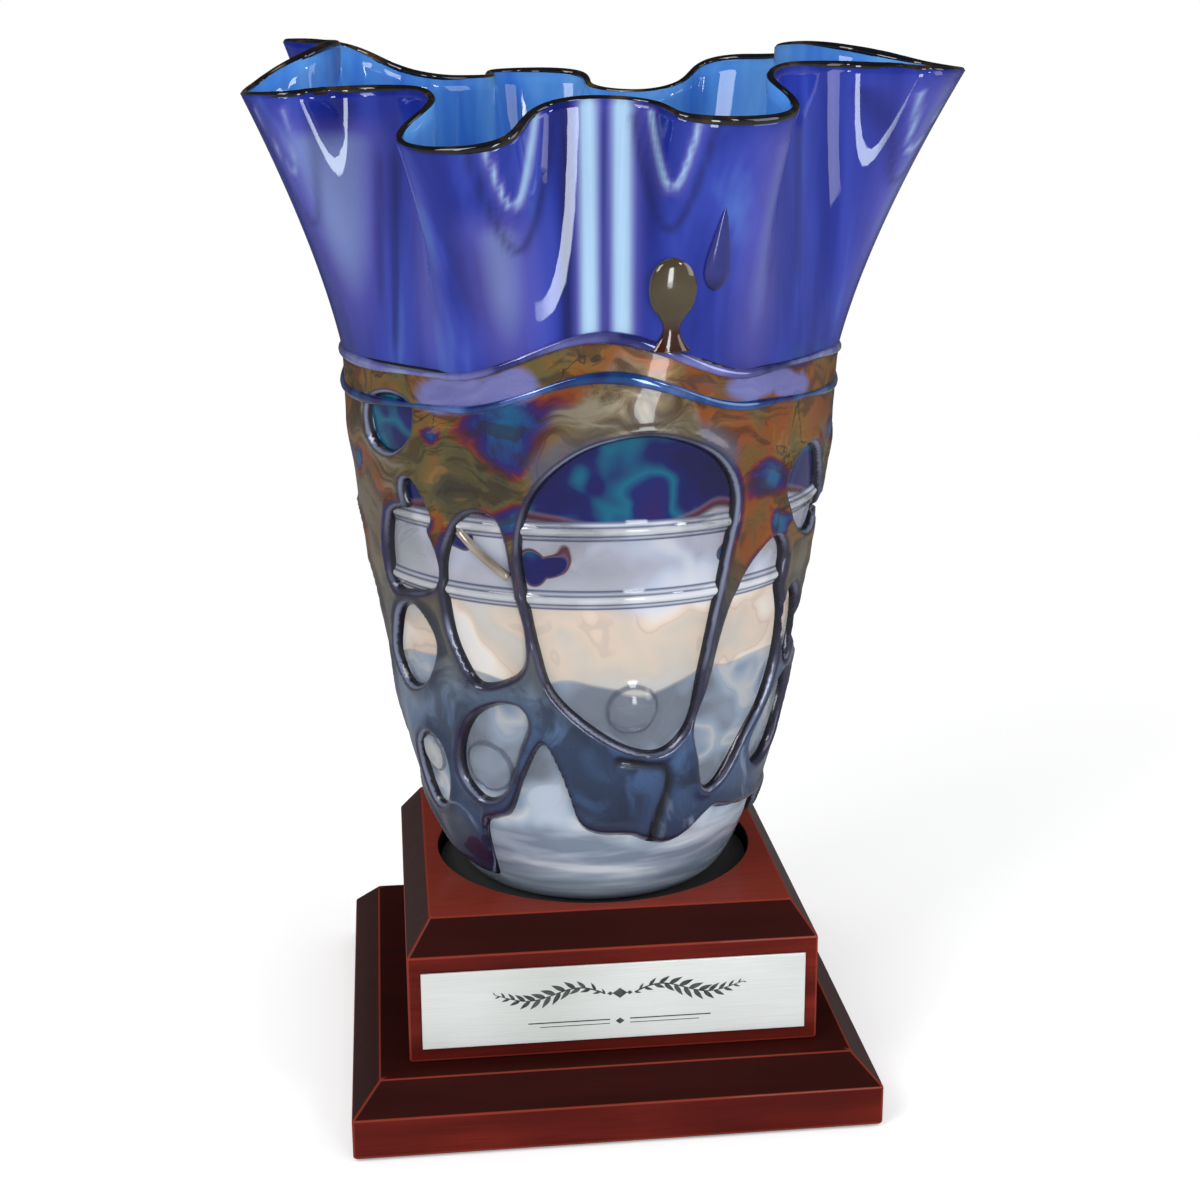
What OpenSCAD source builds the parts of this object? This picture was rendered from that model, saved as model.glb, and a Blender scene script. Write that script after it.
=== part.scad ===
// Trophy vase: a blown art glass vase with a seven-lobed lip, standing loose in
// the round well of a two-tier lacquered base with an engraved plate in front.
// Millimetres, +Z up, origin at the centre of the underside, front towards -Y.

/* [Base] */
// Width and depth of the lower tier
plinth_w = 178; // [165:1:200]
// Height of the lower tier's upright side
plinth_side = 14; // [12:0.5:18]
// Width of the bevel round the lower tier
plinth_bevel = 9.5; // [6:0.5:12]
// Height of the bevel round the lower tier
plinth_bevel_rise = 9.5; // [6:0.5:12]
// Width and depth of the upper tier
block_w = 139; // [136:1:145]
// Height of the upper tier's upright side
block_side = 38; // [34:0.5:44]
// Width of the bevel round the upper tier
block_bevel = 8; // [5:0.5:10]
// Height of the bevel round the upper tier
block_bevel_rise = 11; // [8:0.5:13]
// Thickness of the felt glued underneath
felt_t = 1; // [0.5:0.1:2]
// Margin between the felt and the lower tier's edge
felt_margin = 4; // [2:0.5:8]

/* [Well] */
// Radius of the round well that holds the vase
well_r = 56.5; // [55:0.5:58]
// Depth of the well
well_depth = 7; // [5:0.5:9]
// Thickness of the loose felt disc in the well
disc_t = 1.5; // [1:0.1:2]
// Gap between the felt disc and the well's wall
disc_gap = 0.8; // [0.5:0.1:1.5]

/* [Plate] */
// Width of the engraved plate
plate_w = 130; // [110:1:132]
// Height of the engraved plate
plate_h = 27.5; // [20:0.5:32]
// Thickness of the engraved plate
plate_t = 0.8; // [0.5:0.1:1.5]
// Thickness of the tape that holds the plate
tape_t = 0.3; // [0.2:0.1:0.5]
// Margin between the tape and the plate's edge
tape_margin = 2; // [1:0.5:4]

/* [Screws] */
// Distance of each assembly screw from the centre lines
screw_place = 40; // [34:1:46]
// Radius of a screw's shank
screw_r = 1.8; // [1.5:0.1:2.2]
// Radius of a screw's head
screw_head_r = 3.8; // [3:0.1:4.5]
// Height of a screw's head
screw_head_h = 2.6; // [2:0.1:3]
// Depth of a screw's hole in the upper tier
pilot_depth = 20; // [14:1:26]
// Depth of the counterbore that hides a screw's head
counterbore_depth = 8; // [6:0.5:10]

/* [Vase] */
// Height from the foot to the shoulder, where the lobes begin
shoulder_h = 172; // [160:1:180]
// Radius of the foot's flat rest
foot_r = 41; // [38:0.5:43]
// Radius at the shoulder
shoulder_r = 82; // [80:0.5:84]
// Thickness of the glass at the centre of the foot
floor_t = 9; // [7:0.5:12]
// Radius of the hollow's flat floor
hollow_r = 35; // [32:0.5:37]
// Thickness of the glass from the shoulder up to the lip
wall_t = 2.8; // [2.4:0.1:3.2]
// Radius of the dark thread wrapped round the lip
lip_r = 1.7; // [1.4:0.1:2]

/* [Glass work] */
// Thickness of the lustred web that lies over the wall
web_t = 3; // [2.5:0.1:3.5]
// Radius of the clear threads round the wall
thread_r = 1.8; // [1.5:0.1:2.2]
// Radius of the wavy trails round the shoulder
trail_r = 2.2; // [1.8:0.1:2.6]

/* [Hidden] */

$fn = 96;
eps = 0.01;

// Heights worked out from the tiers
plinth_top = felt_t + plinth_side + plinth_bevel_rise;
block_top = plinth_top + block_side + block_bevel_rise;
well_floor = block_top - well_depth;
foot_z = well_floor + disc_t;
shoulder_z = foot_z + shoulder_h;
hollow_z = foot_z + floor_t;

// Screw lengths and hole clearance
shank_clearance = 0.3;
screw_start = felt_t + counterbore_depth;
screw_end = plinth_top + pilot_depth - 2;

// How far the hot-joined glass pieces bed into the wall
bed = 0.3;

// The lip's tips and folds in turn: azimuth, reach from the axis, height above the underside
LIP = [[193, 114, 339], [219, 78, 341], [241, 108, 325], [266, 82, 339], [290, 104, 333], [319, 80, 348],
       [352, 124, 346], [382, 86, 354], [410, 108, 349], [432, 80, 337], [455, 106, 344], [481, 80, 342],
       [507, 115, 355], [529, 86, 354]];
lip_count = len(LIP);
lip_pinch = 0.13;
steps_per_lobe = 6;
columns = lip_count * steps_per_lobe;
body_rows = 11;
lobe_rows = 9;

// Windows in the web: azimuth, height of the middle, half width, half height, narrowing of the lower end
WINDOWS = [[275, 184, 32, 53, 0.35], [238, 181, 11, 32, 0], [235, 130, 13, 20, 0.1], [251, 114, 7, 13, -0.8],
           [213, 237, 9, 8, 0], [209, 160, 11, 15, 0], [206, 116, 8, 14, 0], [308, 158, 13, 36, 0.4],
           [334, 180, 11, 30, 0], [330, 125, 9, 12, 0], [358, 182, 20, 44, 0.3], [18, 128, 14, 17, 0.1],
           [29, 185, 10, 30, 0], [62, 176, 26, 50, 0.3], [96, 196, 11, 26, 0], [98, 138, 13, 19, 0.1],
           [126, 178, 19, 46, 0.3], [153, 204, 10, 20, 0], [155, 148, 13, 22, 0.1], [181, 184, 15, 40, 0.3]];
window_points = 24;

// Drips of the web that run down to the foot: azimuth, lowest height, width in degrees
DRIPS = [[224, 82, 6], [284, 93, 7], [345, 88, 6], [48, 84, 6], [112, 90, 7], [168, 84, 6]];

// Heights of the web's lower edge and of the clear threads
web_low = 100;
thread_heights = [185, 208];

// Clear lenses of glass in the windows: azimuth, height, radius
LENSES = [[231, 123, 9], [279, 140, 7], [20, 126, 8], [98, 138, 8], [205, 119, 7]];
lens_depth = 3;

// Crests of the wavy trails: azimuth, rise, half width in degrees
CRESTS = [[268, 13, 34], [28, 11, 36], [145, 12, 34]];
trail_heights = [245, 256];
trail_columns = 84;

function mix(a, b, u) = a + (b - a) * u;
function ease(u) = (1 - cos(180 * u)) / 2;

// The vase's outside and inside radius below the shoulder
function body_r(z) = foot_r + (shoulder_r - foot_r) * sqrt((z - foot_z) / shoulder_h);
function hollow_at(z) =
    hollow_r + (shoulder_r - wall_t - hollow_r) * sqrt((z - hollow_z) / (shoulder_z - hollow_z));

// One number of the lip list, run smoothly from one tip or fold to the next
function lip_value(s, k) =
    let (i = floor(s) % lip_count, u = s - floor(s))
    mix(LIP[i][k], LIP[(i + 1) % lip_count][k], ease(u));

// Azimuths where part i of the lip, from a tip to a fold or back, starts and ends
function part_start(i) = LIP[i][0];
function part_end(i) = i + 1 < lip_count ? LIP[i + 1][0] : LIP[0][0] + 360;

// Azimuth at step s, where pinch squares the lobes
function lip_azimuth(s, pinch) =
    let (i = floor(s) % lip_count, u = s - floor(s))
    mix(part_start(i), part_end(i), u + pinch * sin(360 * u));

// How far the lobes have opened, from 0 at the shoulder to 1 at the lip
function opening(t) = 0.1 * t + 0.9 * pow(t, 1.5);

// A point of the outside above the shoulder, t of the way up to the lip
function lobe_point(s, t) =
    let (r = mix(shoulder_r, lip_value(s, 1), opening(t)), a = lip_azimuth(s, lip_pinch * opening(t)))
    [r * cos(a), r * sin(a)];

// The same point moved inwards, square to the outline
function inset_point(s, t, depth) =
    let (along = lobe_point(s + lip_count + 0.02, t) - lobe_point(s + lip_count - 0.02, t))
    lobe_point(s, t) - depth * [along[1], -along[0]] / norm(along);

function lip_z(s) = lip_value(s, 2);
function step_of(j) = (j % columns) / steps_per_lobe;

// Rings of points, from the foot up to the lip on the outside and on the inside
function body_ring(r, z) = [for (j = [0 : columns - 1])
    let (a = lip_azimuth(step_of(j), 0)) [r * cos(a), r * sin(a), z]];
function lobe_ring(t, depth) = [for (j = [0 : columns - 1])
    let (p = inset_point(step_of(j), t, depth)) [p[0], p[1], mix(shoulder_z, lip_z(step_of(j)), t)]];

// Rise at azimuth a of one crest, and height there of a trail that runs over all the crests
function crest(a, c) =
    let (away = abs((a - c[0] + 540) % 360 - 180))
    away > c[2] ? 0 : c[1] * ease(1 - away / c[2]);
function trail_z(a, z) = z + crest(a, CRESTS[0]) + crest(a, CRESTS[1]) + crest(a, CRESTS[2]);

// Step round the lip at azimuth a, found part by part
function step_at(a, i = 0) =
    a < part_end(i) || i == lip_count - 1
    ? i + (a - part_start(i)) / (part_end(i) - part_start(i))
    : step_at(a, i + 1);

// Radius of the outside at azimuth a and height z
function outside_r(a, z) =
    z <= shoulder_z ? body_r(z)
    : let (s = step_at(a < LIP[0][0] ? a + 360 : a), t = (z - shoulder_z) / (lip_z(s) - shoulder_z))
      mix(shoulder_r, lip_value(s, 1), opening(t));

// A closed tube through rings of points that all have the same number of sides
module ring_tube(rings, closed_ends) {
    n = len(rings);
    sides = len(rings[0]);
    spans = closed_ends ? n - 1 : n;
    points = [for (ring = rings) each ring];
    walls = [for (i = [0 : spans - 1], k = [0 : sides - 1])
        let (a = i * sides, b = (i + 1) % n * sides, k2 = (k + 1) % sides)
        each [[a + k, a + k2, b + k2], [a + k, b + k2, b + k]]];
    ends = closed_ends
        ? [[for (k = [sides - 1 : -1 : 0]) k], [for (k = [0 : sides - 1]) (n - 1) * sides + k]]
        : [];
    polyhedron(points = points, faces = concat(walls, ends), convexity = 10);
}

// A block with a mitred bevel round its top, standing on z = 0
module bevelled_block(w, side, bevel, rise) {
    outline = [[-w / 2, 0], [w / 2, 0], [w / 2, side], [w / 2 - bevel, side + rise],
               [-w / 2 + bevel, side + rise], [-w / 2, side]];
    intersection() {
        rotate([90, 0, 0]) linear_extrude(w, center = true) polygon(outline);
        rotate([90, 0, 90]) linear_extrude(w, center = true) polygon(outline);
    }
}

// One child at each of the four screws
module at_screws() {
    for (x = [-1, 1], y = [-1, 1]) translate([x * screw_place, y * screw_place, 0]) children();
}

module lower_plinth() {
    color("#6b1f1c") difference() {
        translate([0, 0, felt_t]) bevelled_block(plinth_w, plinth_side, plinth_bevel, plinth_bevel_rise);
        at_screws() {
            translate([0, 0, felt_t - 1]) cylinder(r = screw_r + shank_clearance, h = plinth_top, $fn = 32);
            translate([0, 0, felt_t - 1]) cylinder(r = screw_head_r + 1, h = counterbore_depth + 1, $fn = 32);
        }
    }
}

module upper_block() {
    color("#7a2420") difference() {
        translate([0, 0, plinth_top]) bevelled_block(block_w, block_side, block_bevel, block_bevel_rise);
        translate([0, 0, well_floor]) cylinder(r = well_r, h = well_depth + 1);
        at_screws() translate([0, 0, plinth_top - 1]) cylinder(r = screw_r, h = pilot_depth + 1, $fn = 32);
    }
}

module assembly_screws() {
    color("silver") at_screws() {
        translate([0, 0, screw_start - screw_head_h]) difference() {
            cylinder(r = screw_head_r, h = screw_head_h, $fn = 32);
            for (turn = [0, 90]) rotate(turn) cube([screw_head_r * 1.2, 0.9, 2.4], center = true);
        }
        translate([0, 0, screw_start - eps]) cylinder(r = screw_r, h = screw_end - screw_start - 3, $fn = 32);
        translate([0, 0, screw_end - 3 - 2 * eps]) cylinder(r1 = screw_r, r2 = 0.4, h = 3, $fn = 32);
    }
}

module underside_felt() {
    w = plinth_w - 2 * felt_margin;
    color("#1c1c1e") translate([-w / 2, -w / 2, 0]) cube([w, w, felt_t]);
}

// A flat sheet against the front of the upper tier, with its back depth in front of the wood
module front_sheet(w, h, t, depth) {
    translate([-w / 2, -block_w / 2 - depth - t, plinth_top + (block_side - h) / 2]) cube([w, t, h]);
}

module name_plate() {
    color("#dfe1dd") front_sheet(plate_w, plate_h, plate_t, tape_t);
}

module plate_tape() {
    color("#d8d4c4") front_sheet(plate_w - 2 * tape_margin, plate_h - 2 * tape_margin, tape_t, 0);
}

module well_felt() {
    color("#17100e") translate([0, 0, well_floor]) cylinder(r = well_r - disc_gap, h = disc_t);
}

module vase_wall() {
    up = [for (i = [0 : body_rows])
        let (z = foot_z + shoulder_h * pow(i / body_rows, 2)) body_ring(body_r(z), z)];
    out = [for (i = [1 : lobe_rows]) lobe_ring(i / lobe_rows, 0)];
    back = [for (i = [lobe_rows : -1 : 1]) lobe_ring(i / lobe_rows, wall_t)];
    down = [for (i = [body_rows : -1 : 0])
        let (z = hollow_z + (shoulder_z - hollow_z) * pow(i / body_rows, 2)) body_ring(hollow_at(z), z)];
    color("#4a56b4") ring_tube(concat(up, out, back, down), true);
}

module lip_wrap() {
    sides = 6;
    rings = [for (j = [0 : columns - 1])
        let (s = step_of(j), mid = inset_point(s, 1, wall_t / 2), edge = inset_point(s, 1, wall_t / 2 - 1))
        [for (k = [0 : sides - 1])
            let (a = 360 * k / sides, p = mid + (edge - mid) * lip_r * cos(a))
            [p[0], p[1], lip_z(s) + lip_r * sin(a)]]];
    color("#15131c") ring_tube(rings, false);
}

// A rounded window outline, narrower below by the share given
function window_outline(w, h, narrowing) = [for (k = [0 : window_points - 1])
    let (a = 360 * k / window_points, y = h * sign(sin(a)) * pow(abs(sin(a)), 0.8),
         share = 1 - narrowing * (h - y) / (2 * h))
    [w * share * sign(cos(a)) * pow(abs(cos(a)), 0.8), y]];

module window_cut(window) {
    rotate([0, 0, window[0]]) translate([30, 0, window[1]]) rotate([90, 0, 90])
        linear_extrude(100) polygon(window_outline(window[2], window[3], window[4]));
}

// A band round the wall between two heights, with bed sunk into the wall and t standing out
function band_outline(low, high, t, steps) = concat(
    [for (i = [0 : steps]) let (z = mix(low, high, i / steps)) [body_r(z) - bed, z]],
    [for (i = [steps : -1 : 0]) let (z = mix(low, high, i / steps)) [body_r(z) + t, z]]);

module web_overlay() {
    color("#8a5a22") difference() {
        rotate_extrude() polygon(band_outline(web_low, shoulder_z, web_t, 8));
        for (window = WINDOWS) window_cut(window);
    }
}

module web_drips() {
    color("#2c3a4c") for (drip = DRIPS)
        rotate([0, 0, drip[0] - drip[2] / 2])
            rotate_extrude(angle = drip[2]) polygon(band_outline(drip[1], web_low + 4, web_t * 0.8, 3));
}

module wavy_trail(height) {
    sides = 6;
    rings = [for (j = [0 : trail_columns - 1])
        let (a = 360 * j / trail_columns, z = trail_z(a, height), r = outside_r(a, z) + trail_r - 2 * bed)
        [for (k = [0 : sides - 1])
            let (b = 360 * k / sides, q = r + trail_r * cos(b))
            [q * cos(a), q * sin(a), z + trail_r * sin(b)]]];
    ring_tube(rings, false);
}

module wavy_trail_upper() {
    color("#5160b8") wavy_trail(trail_heights[1]);
}

module wavy_trail_lower() {
    color("#7a4a20") wavy_trail(trail_heights[0]);
}

module ring_thread(z) {
    rotate_extrude() translate([body_r(z), z]) circle(r = thread_r, $fn = 24);
}

module ring_thread_upper() {
    color("#c9d6df") ring_thread(thread_heights[1]);
}

module ring_thread_lower() {
    color("#c9d6df") ring_thread(thread_heights[0]);
}

// A round dome of glass that faces outwards from the wall
module dome(azimuth, z, r, height) {
    steps = 6;
    arc = [for (i = [0 : steps]) [r * cos(90 * i / steps), height * sin(90 * i / steps)]];
    rotate([0, 0, azimuth]) translate([body_r(z) - 2 * bed, 0, z]) rotate([0, 90, 0])
        rotate_extrude($fn = 48) polygon(concat([[0, -bed], [r, -bed]], arc));
}

module clear_lenses() {
    color("#d5dde2") for (lens = LENSES) dome(lens[0], lens[1], lens[2], lens_depth);
}

// A tapering drop of glass laid on the wall, between two heights
module teardrop(azimuth, low, high, r) {
    steps = 8;
    sides = 10;
    rings = [for (i = [0 : steps])
        let (u = i / steps, z = mix(low, high, u), q = r * pow(sin(mix(10, 170, u)), 0.8) * mix(0.6, 1, u))
        [for (k = [0 : sides - 1])
            let (b = 360 * k / sides) [outside_r(azimuth, z) + q * 0.35 * cos(b), q * sin(b), z]]];
    rotate([0, 0, azimuth]) ring_tube(rings, true);
}

module bronze_teardrop() {
    color("#5d5320") teardrop(281, 270, 293, 8);
}

module blue_teardrop() {
    color("#23308c") teardrop(289, 283, 306, 4.5);
}

lower_plinth();
upper_block();
assembly_screws();
underside_felt();
name_plate();
plate_tape();
well_felt();
vase_wall();
lip_wrap();
web_overlay();
web_drips();
wavy_trail_upper();
wavy_trail_lower();
ring_thread_upper();
ring_thread_lower();
clear_lenses();
bronze_teardrop();
blue_teardrop();
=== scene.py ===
"""A blown art glass vase in the well of a two-tier lacquered base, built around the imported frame.

Metres throughout, +Z up, front towards -Y. Glass shapes are given on the wall itself, as azimuth in degrees
(0 along +X, 270 in front) and height in millimetres above the underside, and follow the frame's own boxes.
"""

import math

import bmesh
import bpy
import numpy as np
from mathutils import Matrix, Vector


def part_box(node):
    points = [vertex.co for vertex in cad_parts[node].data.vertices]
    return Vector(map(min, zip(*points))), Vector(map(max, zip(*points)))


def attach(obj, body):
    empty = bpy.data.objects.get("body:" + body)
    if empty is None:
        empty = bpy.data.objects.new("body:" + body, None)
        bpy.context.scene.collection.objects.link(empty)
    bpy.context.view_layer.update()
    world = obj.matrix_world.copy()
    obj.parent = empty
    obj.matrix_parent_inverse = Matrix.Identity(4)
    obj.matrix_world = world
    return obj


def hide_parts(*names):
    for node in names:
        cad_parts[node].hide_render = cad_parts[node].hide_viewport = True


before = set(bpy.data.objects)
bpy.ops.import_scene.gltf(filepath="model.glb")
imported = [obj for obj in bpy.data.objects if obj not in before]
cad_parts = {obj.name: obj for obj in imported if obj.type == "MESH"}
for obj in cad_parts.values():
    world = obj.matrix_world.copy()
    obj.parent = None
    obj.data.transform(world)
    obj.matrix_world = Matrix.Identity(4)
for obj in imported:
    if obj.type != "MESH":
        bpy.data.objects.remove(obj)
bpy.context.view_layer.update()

MM = 0.001

# ------------------------------------------------------------------ sizes, from the frame where it holds them

WALL_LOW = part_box("vase_wall")[0]
BLOCK_LOW, BLOCK_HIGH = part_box("upper_block")
PLINTH_LOW, PLINTH_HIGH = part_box("lower_plinth")
PLATE_LOW, PLATE_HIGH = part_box("name_plate")
DISC_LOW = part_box("well_felt")[0]

FOOT_Z = WALL_LOW[2] / MM
SHOULDER_H = 172
SHOULDER_Z = FOOT_Z + SHOULDER_H
FOOT_R = 41
SHOULDER_R = 82
HOLLOW_Z = FOOT_Z + 9
HOLLOW_R = 35
WALL_T = 2.8
LIP_R = 1.25
WEB_T = 2.4
BED = 0.3
FLOOR_DISH = 0.6

# The lip's tips and folds in turn: azimuth, reach, height, and the pinch that squares the next part
LIP = (
    (193, 114, 339, 0.17), (219, 78, 341, 0.18), (241, 108, 325, 0.12), (266, 82, 339, 0.12),
    (290, 104, 333, 0.17), (319, 80, 348, 0.16), (352, 124, 346, 0.13), (382, 86, 354, 0.13),
    (410, 108, 349, 0.14), (432, 80, 337, 0.14), (455, 106, 344, 0.13), (481, 80, 342, 0.14),
    (507, 115, 355, 0.13), (529, 86, 354, 0.15),
)
PER_PART = 28
LOBE_RINGS = 44

# Clear threads round the wall, as heights, and clear lenses as azimuth, height, radius and rise
THREADS = (185, 208)
THREAD_RISE = 1.6
THREAD_SPREAD = 1.9
LENSES = ((232, 122, 9, 3), (275, 146, 8.5, 4.2), (20, 126, 8, 3), (98, 138, 8, 3), (206, 120, 7, 2.5))

# Crests of the two wavy trails: azimuth, rise, half width in degrees; and the trails' heights
CRESTS = ((268, 13, 34), (28, 11, 36), (145, 12, 34))
TRAILS = (245, 256)
TRAIL_R = 1.35

# Windows in the web, as azimuth and height of points round each, run through by a smooth closed curve
ARCH = ((274, 238), (284, 236), (293, 229), (298, 217), (297, 199), (295, 178), (293, 158), (291, 140),
        (284, 131), (274, 133), (262, 143), (254, 154), (251, 168), (249, 185), (248, 203), (252, 220),
        (262, 233))
SIDE_SLOT = ((231, 205), (236, 212), (242, 210), (244, 197), (245, 186), (247, 172), (246, 161), (241, 156),
             (234, 154), (230, 160), (227, 172), (227, 192))
LENS_OVAL = ((224, 128), (230, 140), (238, 146), (244, 146), (246, 140), (243, 131), (240, 122), (236, 113),
             (229, 110), (223, 117))
ROUND_OVAL = ((202, 164), (208, 174), (215, 175), (220, 166), (217, 156), (211, 148), (203, 146), (198, 154))
STREAK_PANE = ((211, 208), (219, 209), (224, 197), (223, 186), (214, 182), (206, 182), (206, 195))
SLANT_SLIT = ((217, 219), (220, 219), (224, 209), (221, 206), (217, 212))
HIGH_OVAL = ((206, 243), (214, 247), (221, 244), (220, 235), (213, 229), (206, 232))
LOW_PANE = ((208, 128), (214, 126), (215, 116), (210, 104), (202, 101), (199, 112), (202, 122))
LONG_PANE = ((314, 199), (307, 193), (302, 182), (299, 168), (297, 152), (294, 138), (297, 125), (300, 114),
             (305, 115), (313, 129), (320, 141), (323, 155), (322, 170), (318, 182), (318, 193))
EDGE_SLIT = ((324, 178), (330, 175), (334, 160), (331, 151), (326, 160))

# Where each window sits: outline, turn in degrees, lift in millimetres, size, and mirrored or not
WINDOWS = (
    *((pane, 0, 0, 1, False) for pane in (ARCH, SIDE_SLOT, LENS_OVAL, ROUND_OVAL, STREAK_PANE, SLANT_SLIT,
                                          HIGH_OVAL, LOW_PANE, LONG_PANE, EDGE_SLIT)),
    (ROUND_OVAL, 118, 52, 1, True), (SIDE_SLOT, 107, -4, 0.95, True), (ROUND_OVAL, 120, -30, 1, False),
    (ARCH, 88, -4, 0.86, True), (LENS_OVAL, 142, -2, 1, True), (SIDE_SLOT, 147, 4, 0.95, False),
    (ARCH, 148, -6, 1.05, False), (LONG_PANE, 148, 16, 0.45, True), (LENS_OVAL, 224, 2, 1.05, False),
    (ARCH, 212, -2, 0.8, True), (SIDE_SLOT, 272, 2, 0.9, False), (ROUND_OVAL, 306, -24, 1.1, True),
    (LONG_PANE, 228, 2, 1, False), (HIGH_OVAL, 238, 0, 1, False),
)

# The web's lower edge round the vase, with its drips, as azimuth and height
LOWER_EDGE = (
    (0, 90), (6, 98), (15, 101), (26, 96), (33, 88), (38, 87), (44, 98), (60, 102), (75, 97), (88, 90),
    (94, 87), (100, 96), (116, 101), (132, 97), (140, 86), (146, 84), (152, 95), (165, 100), (180, 96),
    (192, 88), (203, 80), (214, 77), (222, 76), (225, 79), (227, 98), (232, 102), (238, 106), (244, 121),
    (250, 133), (254, 125), (257, 114), (260, 103), (266, 99), (276, 98), (282, 95), (289, 93), (295, 95),
    (302, 101), (306, 103), (313, 101), (331, 98), (338, 100), (344, 94), (349, 86), (354, 84),
)

# Places where the clear wall carries the teal film below its band: azimuth, height, radius
FILM_SPOTS = ((251, 196, 7), (256, 197, 6), (232, 203, 5), (300, 200, 5), (40, 196, 8), (96, 196, 9),
              (150, 200, 8))

# Milky places low on the clear wall: azimuth, height, radius
MILKY_SPOTS = ((247, 112, 12), (305, 103, 8), (80, 106, 10), (160, 108, 10))

# Folds where the web overlaps itself, as azimuth and height along each
SEAMS = (((272, 128), (279, 126), (285, 124), (287, 118), (285, 106), (283, 97)),
         ((30, 150), (38, 146), (44, 138), (43, 122), (40, 104)))

# Painted reflections down the lobes, pale streaks for strip lights mirrored in the folds and dark streaks for
# dark surroundings mirrored there:
# azimuth, half width in degrees, lowest and highest place, strength
PALE_REFLECTION_STREAKS = (
    (264.2, 2.6, 258, 342, 1), (271, 2.8, 256, 342, 1), (205, 7, 272, 330, 0.55), (248, 6, 262, 305, 0.5),
    (301, 7, 258, 330, 0.4), (344, 7, 280, 345, 0.45), (228, 5, 262, 318, 0.35), (20, 3, 262, 340, 0.7),
    (70, 6, 270, 325, 0.5), (98, 3, 258, 340, 0.9), (122, 7, 262, 310, 0.4), (160, 3, 262, 345, 0.6),
)
DARK_REFLECTION_STREAKS = (
    (267.6, 0.8, 262, 336, 0.5), (259.6, 1.2, 254, 342, 0.85), (216, 1.6, 262, 322, 0.6),
    (318.5, 1.4, 284, 335, 0.5), (211.5, 1.2, 275, 322, 0.45), (277, 1.4, 300, 336, 0.35),
    (24, 1.2, 262, 340, 0.6), (94, 1.2, 256, 340, 0.7), (164, 1.2, 262, 345, 0.6), (310, 1.2, 262, 290, 0.3),
)

# Painted reflections of the lip's folds, arcs hanging from the lip seen as pale and dark lines, in the same
# order
PALE_LIP_REFLECTIONS = (
    (251, 3.6, 309, 336, 0.8), (279.5, 3.2, 314, 336, 0.8), (341, 4, 321, 341, 0.7),
    (200, 3.6, 316, 336, 0.6), (83, 4, 310, 338, 0.7), (110, 4, 318, 338, 0.6), (30, 4, 318, 345, 0.6),
)
DARK_LIP_REFLECTIONS = (
    (251, 6.8, 296, 338, 0.6), (279.5, 6.2, 302, 336, 0.6), (341, 6.4, 311, 341, 0.5), (83, 7, 298, 340, 0.5),
    (200, 6.6, 300, 338, 0.4), (30, 7, 304, 346, 0.5),
)

# Lilac patches between the two trails: azimuth, height, radius
LILAC_SPOTS = ((238, 251, 12), (230, 250, 10), (247, 255, 10), (304, 252, 12), (314, 250, 11), (60, 251, 13),
               (115, 251, 13))

# Places where the bronze pales to tan and olive: azimuth, height, radius
TAN_SPOTS = ((272, 247, 14), (284, 243, 11), (262, 243, 10), (208, 236, 12), (214, 222, 10), (90, 240, 14),
             (150, 244, 12))

# Two drops of glass on the wall, as heights and radii
BRONZE_DROP = ((265, 6.4), (267.5, 4.4), (270, 3), (272.5, 2.7), (275, 4), (278.5, 6.6), (283.5, 7.8),
               (288.5, 7.2), (292, 4.6), (293.6, 0.3))
BLUE_DROP = ((283, 0.3), (284.5, 2.6), (288, 4.2), (292, 4.1), (298, 2.9), (304, 1.5), (308, 0.2))

# Places where the lustre turns purple and blue: azimuth, height, radius
LUSTRE_SPOTS = ((246, 240, 17), (247, 212, 11), (308, 222, 12), (231, 236, 6), (245, 192, 7), (318, 208, 7),
                (20, 215, 12), (75, 228, 14), (120, 205, 10), (165, 225, 12), (340, 232, 10), (190, 222, 8))

# The smoky halo over the arch: azimuth, height, radius
HALO_SPOTS = ((263, 232, 16), (274, 240, 16), (286, 236, 16))


# ------------------------------------------------------------------ the outline of the vase

def mix(a, b, u):
    return a + (b - a) * u


def ease(u):
    return (1 - np.cos(np.pi * u)) / 2


def turned_from(azimuth, middle):
    """Degrees from middle to an azimuth, the short way round."""
    return (azimuth - middle + 180) % 360 - 180


def around(radius, azimuth):
    """x and y at a radius and an azimuth in degrees."""
    a = np.radians(azimuth)
    return radius * np.cos(a), radius * np.sin(a)


def flat_normals(outline):
    """Unit normals, pointing outwards, of a closed outline of x and y."""
    along = np.roll(outline, -1, axis=0) - np.roll(outline, 1, axis=0)
    return np.stack([along[:, 1], -along[:, 0]], axis=1) / np.linalg.norm(along, axis=1)[:, None]


def lip_ring(per_part):
    """Rows round the lip: azimuth, reach, height, and the pinch in degrees at full opening."""
    rows = []
    for i, (azimuth, reach, height, pinch) in enumerate(LIP):
        after = LIP[(i + 1) % len(LIP)]
        end = after[0] if i + 1 < len(LIP) else after[0] + 360
        for u in np.arange(per_part) / per_part:
            rows.append((mix(azimuth, end, u), mix(reach, after[1], ease(u)), mix(height, after[2], ease(u)),
                         (end - azimuth) * pinch * math.sin(2 * math.pi * u)))
    return np.array(rows)


RING = lip_ring(PER_PART)


def lip_at(azimuth, column):
    """Reach (1) or height (2) of the lip at an azimuth."""
    a = (np.asarray(azimuth, float) - RING[0, 0]) % 360 + RING[0, 0]
    return np.interp(a, np.append(RING[:, 0], RING[0, 0] + 360), np.append(RING[:, column], RING[0, column]))


def body_r(z):
    return FOOT_R + (SHOULDER_R - FOOT_R) * np.sqrt(np.clip((z - FOOT_Z) / SHOULDER_H, 0, None))


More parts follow.
